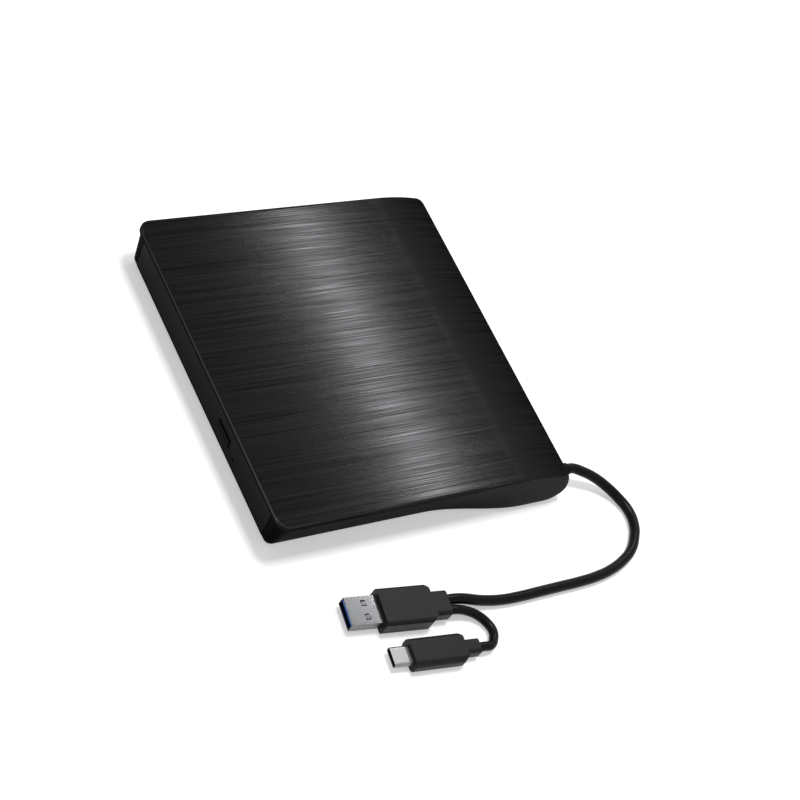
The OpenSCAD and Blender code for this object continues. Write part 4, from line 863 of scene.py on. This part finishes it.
def coil_tree():
    """A wire wound into a spring, along Y."""
    given = new_tree("coil", Turns=7.0, Radius=0.0015, Length=0.01, Wire=0.0002)
    radius = given["Radius"]
    around = radius.node("GeometryNodeCurveSpiral", Resolution=24, Rotations=given["Turns"],
                         Start_Radius=radius, End_Radius=radius, Height=given["Length"])
    wire = given["Wire"].node("GeometryNodeCurvePrimitiveCircle", Resolution=8, Radius=given["Wire"])
    coil = around.node("GeometryNodeCurveToMesh", Curve=around, Profile_Curve=wire, Fill_Caps=True)
    return end_tree(given, coil, -math.pi / 2, 0.0, 0.0)


def ball_tree():
    given = new_tree("balls", Radius=0.0008)
    ball = given["Radius"].node("GeometryNodeMeshIcoSphere", Radius=given["Radius"], Subdivisions=3)
    return end_tree(given, ball, 0.0, 0.0, 0.0)


def grown(name, tree, points, key, **inputs):
    """A plain mesh that a tree grows on points in millimetres."""
    obj = piece_from(name, points, [])
    grow = obj.modifiers.new("grow", "NODES")
    grow.node_group = tree
    inputs["Finish"] = M[key]
    for item in tree.interface.items_tree:
        if item.in_out == "INPUT" and item.name in inputs:
            grow[item.identifier] = inputs[item.name]
    apply_modifiers(obj)
    return obj


# Screws, thread, contacts, spring and balls

SCREWS = screw_tree()
SCREW_R, SCREW_LEAD, SCREW_DEPTH, HEAD_R, RINGS_A_TURN = 0.95, 0.5, 0.2, 1.8, 8
# Node, body, places under the heads, length, height of the head and turn from upright
SCREW_SETS = [
    ("case_screws", "case", [(-POST_X, WAVE_Y1, 2.2), (POST_X, WAVE_Y1, 2.2)], 10.4, 1.0, math.pi),
    ("bridge_screws", "case", [(-12, 65, 7.2), (30, 65, 7.2)], 2.9, 1.0, 0.0),
    ("drive_screws", "case", [(-50, 60.2, 5.8), (50, 60.2, 5.8)], 3.1, 1.0, 0.0),
    ("board_screws", "tray", [(8, -55.4, 8.6), (31, -55.4, 8.6)], 3.43, 1.0, math.pi),
    ("damper_screws", "tray", [(1.41, 14.38, 9.4), (18.38, -2.59, 9.4), (-44.55, -48.55, 9.4)], 2.63, 0.8,
     math.pi),
]
for node, body, points, length, height, flip in SCREW_SETS:
    made = grown(node + "_threaded", SCREWS, points, "steel", Radius=SCREW_R * MM, Length=length * MM,
                 Rings=int(length / SCREW_LEAD * RINGS_A_TURN), Lead=SCREW_LEAD * MM, Depth=SCREW_DEPTH * MM,
                 Head=HEAD_R * MM, Height=height * MM, Flip=flip, Seed=len(points) + int(length))
    dress(made, "steel", body, node, degrees=30.0)
thread = grown("lead_screw_thread", rod_tree(), [(1.733, -29.845, 8.2)], "rod", Radius=0.9 * MM,
               Length=42.25 * MM, Rings=320, Lead=3.0 * MM, Starts=2, Depth=0.2 * MM, Lean=math.pi / 2,
               Heading=math.pi / 4)
dress(thread, "rod", "screw", "lead_screw", degrees=40.0)
spring = grown("kick_coil", coil_tree(), [(-45.0, 33.7, 8.5)], "steel", Turns=7.0, Radius=1.52 * MM,
               Length=11.2 * MM, Wire=0.2 * MM)
dress(spring, "steel", "case", "kick_spring")
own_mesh(spring)
BALL_Z, BALL_RING_R = 14.5, 6.9
ball_places = [(x, y, BALL_Z) for x, y in arc(0.0, DISC_Y, BALL_RING_R, 225, 465, 2)]
dress(grown("hub_balls", ball_tree(), ball_places, "steel", Radius=0.8 * MM), "steel", "spindle")


def plug_points(plug, yaw, reach, sides, z):
    """Points across a plug, at a reach towards its tip."""
    middle = along((*plug, z), tip_way(yaw), reach)
    return [along(middle, side_way(yaw), side) for side in sides]


STRIPS = strip_tree()
heading_a = math.radians(270 - PLUG_A_YAW)
heading_c = math.radians(270 - PLUG_C_YAW)
A_CONTACT_Z, A_WELL_Z, A_LEAF_Z, C_CONTACT_ZS = 4.17, 6.18, 6.27, (2.55, 4.05)
A_FRONT_SIDES, A_REAR_SIDES, A_WELL_SIDES = (-3.5, -1.0, 1.0, 3.5), (-4.0, -2.0, 0.0, 2.0, 4.0), (-2.9, 2.9)
A_FRONT_REACH, A_REAR_REACH, A_WELL_REACH, A_LEAF_REACH = 38.6, 34.0, 36.7, 36.8
C_REACH, C_PITCH = 35.2, 0.55
a_places = plug_points(PLUG_A, PLUG_A_YAW, A_FRONT_REACH, A_FRONT_SIDES, A_CONTACT_Z)
a_places += plug_points(PLUG_A, PLUG_A_YAW, A_REAR_REACH, A_REAR_SIDES, A_CONTACT_Z)
plug_a_contacts = grown("plug_a_contacts", STRIPS, a_places, "gold", Length=6.0 * MM, Width=0.9 * MM,
                        Thickness=0.12 * MM, Bend=-0.05 * MM, Heading=heading_a)
dress(plug_a_contacts, "gold", "case")
well_places = plug_points(PLUG_A, PLUG_A_YAW, A_WELL_REACH, A_WELL_SIDES, A_WELL_Z)
leaf_places = plug_points(PLUG_A, PLUG_A_YAW, A_LEAF_REACH, A_WELL_SIDES, A_LEAF_Z)
plug_a_wells = grown("plug_a_wells", STRIPS, well_places, "chip", Length=2.3 * MM, Width=2.6 * MM,
                     Thickness=0.06 * MM, Bend=0.0, Taper=0.0, Heading=heading_a)
dress(plug_a_wells, "chip", "case")
plug_a_leaves = grown("plug_a_leaves", STRIPS, leaf_places, "shell", Length=1.9 * MM, Width=1.6 * MM,
                      Thickness=0.08 * MM, Bend=-0.05 * MM, Taper=0.3, Heading=heading_a)
dress(plug_a_leaves, "shell", "case")
c_places = []
for k in range(-5, 6):
    for z in C_CONTACT_ZS:
        c_places += plug_points(PLUG_C, PLUG_C_YAW, C_REACH, [C_PITCH * k], z)
plug_c_contacts = grown("plug_c_contacts", STRIPS, c_places, "gold", Length=3.6 * MM, Width=0.26 * MM,
                        Thickness=0.1 * MM, Bend=0.02 * MM, Heading=heading_c)
dress(plug_c_contacts, "gold", "case")
LEG_XS, LEG_Y, LEG_PITCH, LEG_Z, LEGS_A_SIDE = (18.6, 26.4), 60.5, 0.8, 7.5, 8
leg_places = [(x, LEG_Y + LEG_PITCH * k, LEG_Z) for x in LEG_XS for k in range(LEGS_A_SIDE)]
dress(grown("chip_legs", STRIPS, leg_places, "steel", Length=1.2 * MM, Width=0.36 * MM, Thickness=0.14 * MM,
            Bend=0.05 * MM, Heading=0.0), "steel", "case")


# Ribbon to the tray, lead inside the case, lens

def bent_strip(name, line, x0, x1, thick):
    """A flat strip across X that follows points in Y and Z."""
    rings = []
    for k, (y, z) in enumerate(line):
        before, after = line[max(k - 1, 0)], line[min(k + 1, len(line) - 1)]
        dy, dz = after[0] - before[0], after[1] - before[1]
        size = math.hypot(dy, dz)
        oy, oz = -dz / size * thick / 2, dy / size * thick / 2
        rings.append([(x0, y + oy, z + oz), (x1, y + oy, z + oz), (x1, y - oy, z - oz), (x0, y - oy, z - oz)])
    return piece_from(name, *rings_mesh(rings))


RIBBON_BEND, RIBBON_Z, RIBBON_REAR, RIBBON_FRONT = 0.5, 5.89, 44.31, -50.31
RIBBON_X0, RIBBON_X1, RIBBON_T, RIBBON_STEPS = 8.0, 22.0, 0.18, 60
RIBBON_REAR_ZS, RIBBON_FRONT_ZS = (7.3, 6.8), (7.0, 7.8, 8.6, 9.4)


def ribbon_line():
    """Down from the fixed board, along under the tray and up to the tray's board."""
    bend, low, rear, front = RIBBON_BEND, RIBBON_Z, RIBBON_REAR, RIBBON_FRONT
    line = [(rear, z) for z in RIBBON_REAR_ZS]
    line += arc(rear - bend, low + bend, bend, 0, -90, 5)
    flat = rear - front - 2 * bend
    line += [(rear - bend - flat * k / RIBBON_STEPS, low) for k in range(1, RIBBON_STEPS)]
    line += arc(front + bend, low + bend, bend, -90, -180, 5)
    return line + [(front, z) for z in RIBBON_FRONT_ZS]


ribbon = bent_strip("ribbon_strip", ribbon_line(), RIBBON_X0, RIBBON_X1, RIBBON_T)
dress(ribbon, "ribbon", None, "ribbon")
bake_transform(ribbon)

INNER_POINTS = [(46, 64), (52, 64), (58, 64), (62.6, 64), (65.0, 64.9), (65.5, 67.4)]
inner = sweep([(x, y, NOSE_Z) for x, y in INNER_POINTS], LEAD_R, "inner_lead_route")
inner_mesh = bpy.data.meshes.new_from_object(inner.evaluated_get(bpy.context.evaluated_depsgraph_get()))
bpy.data.objects.remove(inner)
inner = bpy.data.objects.new("inner_lead_sheath", inner_mesh)
SCENE.collection.objects.link(inner)
dress(inner, "lead", "case", "inner_lead")


LENS_X, LENS_Y, LENS_R, LENS_Z0, LENS_Z1, LENS_CROWN = -15.06, -19.06, 2.15, 11.5, 11.86, 0.54


def lens_dome():
    """A lens with a flat rim and a crowned top."""
    profile = [(LENS_R, LENS_Z0), (LENS_R, LENS_Z1)]
    profile += [(LENS_R * math.cos(t), LENS_Z1 + LENS_CROWN * math.sin(t)) for t in (0.3, 0.6, 0.9, 1.2, 1.4)]
    rings = [[(x, y, z) for x, y in circle(LENS_X, LENS_Y, r, 48)] for r, z in profile]
    return piece_from("lens_dome", *rings_mesh(rings))


dress(lens_dome(), "lens", "focus", "lens")


# Finish of the solids that show as they are

FINISH = {
    "white": ["lead_socket", "left_guide", "right_guide"],
    "chip": ["bridge_chips", "drive_socket", "drive_plug", "kick_holder", "eject_switch"],
    "board": ["bridge_board", "connector_board", "tray_board"],
    "sheet": ["drive_pan", "drive_lid", "left_rail", "right_rail", "tray_shield", "traverse_plate",
              "sled_cover"],
    "steel": ["latch_post", "latch_pin"],
    "rod": ["main_rod", "side_rod"],
    "cast": ["spindle_motor", "stepper"],
    "copper": ["release_magnet"],
    "rubber": ["dampers"],
    "pad": ["hub_pad"],
    "clear": ["light_pipe"],
    "lamp": ["status_light"],
}
for key, names in FINISH.items():
    for name in names:
        for place in NODES[name].material_slots:
            place.material = M[key]


# Floor, light and background

def background_rays(tree):
    """One for the rays that show the background: to the camera, in gloss and through clear parts."""
    path = tree.nodes.new("ShaderNodeLightPath")
    seen = [Socket(tree, path.outputs[f"Is {kind} Ray"]) for kind in ("Camera", "Glossy", "Transmission")]
    return (seen[0] + seen[1] + seen[2]).clamped()


FLOOR_HW, FLOOR_TOP = 2500, -0.05
FLOOR_DARK, FLOOR_LIGHT = (0.86, 0.86, 0.86), (0.88, 0.88, 0.88)
GLOW_NEAR, GLOW_MORE, GLOW_FROM = 0.42, 0.4, 0.35
FILL = 0.35


def add_floor():
    """A pale floor that is white to the camera, more so far off, and keeps the shadow."""
    corners = [(-1, -1), (1, -1), (1, 1), (-1, 1)]
    verts = [(x * FLOOR_HW, y * FLOOR_HW, FLOOR_TOP) for x, y in corners]
    floor = piece_from("floor", verts, [(0, 1, 2, 3)])
    material, shader, at = new_material("pale_floor")
    cloud = at.noise(at, 3.0, 2.0)
    finish_shader(at, shader, at.blend(cloud, FLOOR_DARK, FLOOR_LIGHT), 0.8, Emission_Strength=1.0)
    reach = at.node("ShaderNodeVectorMath", {"operation": "LENGTH"}, out="Value", i0=at)
    glow = background_rays(at.tree) * (GLOW_NEAR + reach.above(GLOW_FROM, 0.5) * GLOW_MORE)
    at.put(shader.inputs["Emission Color"], at.blend(glow, (0, 0, 0), (1, 1, 1)))
    floor.data.materials.append(material)


def add_lamp(name, place, aim, size, power):
    """A soft box that faces a point, with its long side along X."""
    data = bpy.data.lights.new(name, "AREA")
    data.shape = "RECTANGLE"
    data.size, data.size_y = size
    data.energy = power
    back = (Vector(place) - Vector(aim)).normalized()
    up = back.cross(Vector((1, 0, 0))).normalized()
    turn = Matrix((up.cross(back), up, back)).transposed().to_4x4()
    lamp = bpy.data.objects.new(name, data)
    lamp.matrix_world = Matrix.Translation(place) @ turn
    SCENE.collection.objects.link(lamp)


def add_world():
    """White where it is seen, and a fainter fill for the rest of the light."""
    world = bpy.data.worlds.new("studio")
    world.use_nodes = True
    tree = world.node_tree
    back = tree.nodes["Background"]
    glow = background_rays(tree)
    glow.put(back.inputs["Strength"], FILL + glow * (1 - FILL))
    back.inputs["Color"].default_value = (1, 1, 1, 1)
    SCENE.world = world


add_floor()
add_world()
add_lamp("band", place=(-0.39, 0.52, 0.68), aim=(-0.39, 0.0, 0.02), size=(0.42, 0.02), power=1.5)
add_lamp("key", place=(-0.1, 0.09, 1.1), aim=(0.0, 0.0, 0.02), size=(0.24, 0.24), power=6.4)


# Pieces of both plugs and where the second lead starts, gathered and not used; both cords are seen from end
# to end in the photograph

([plug_pieces[name] for name in ("plug_a_body", "plug_a_shell", "plug_a_insert")]
        + [plug_a_contacts, plug_a_wells, plug_a_leaves])
[c * MM for c in tail_start]
([plug_pieces[name] for name in ("plug_c_body", "plug_c_shell", "plug_c_insert")]
        + [plug_c_contacts])
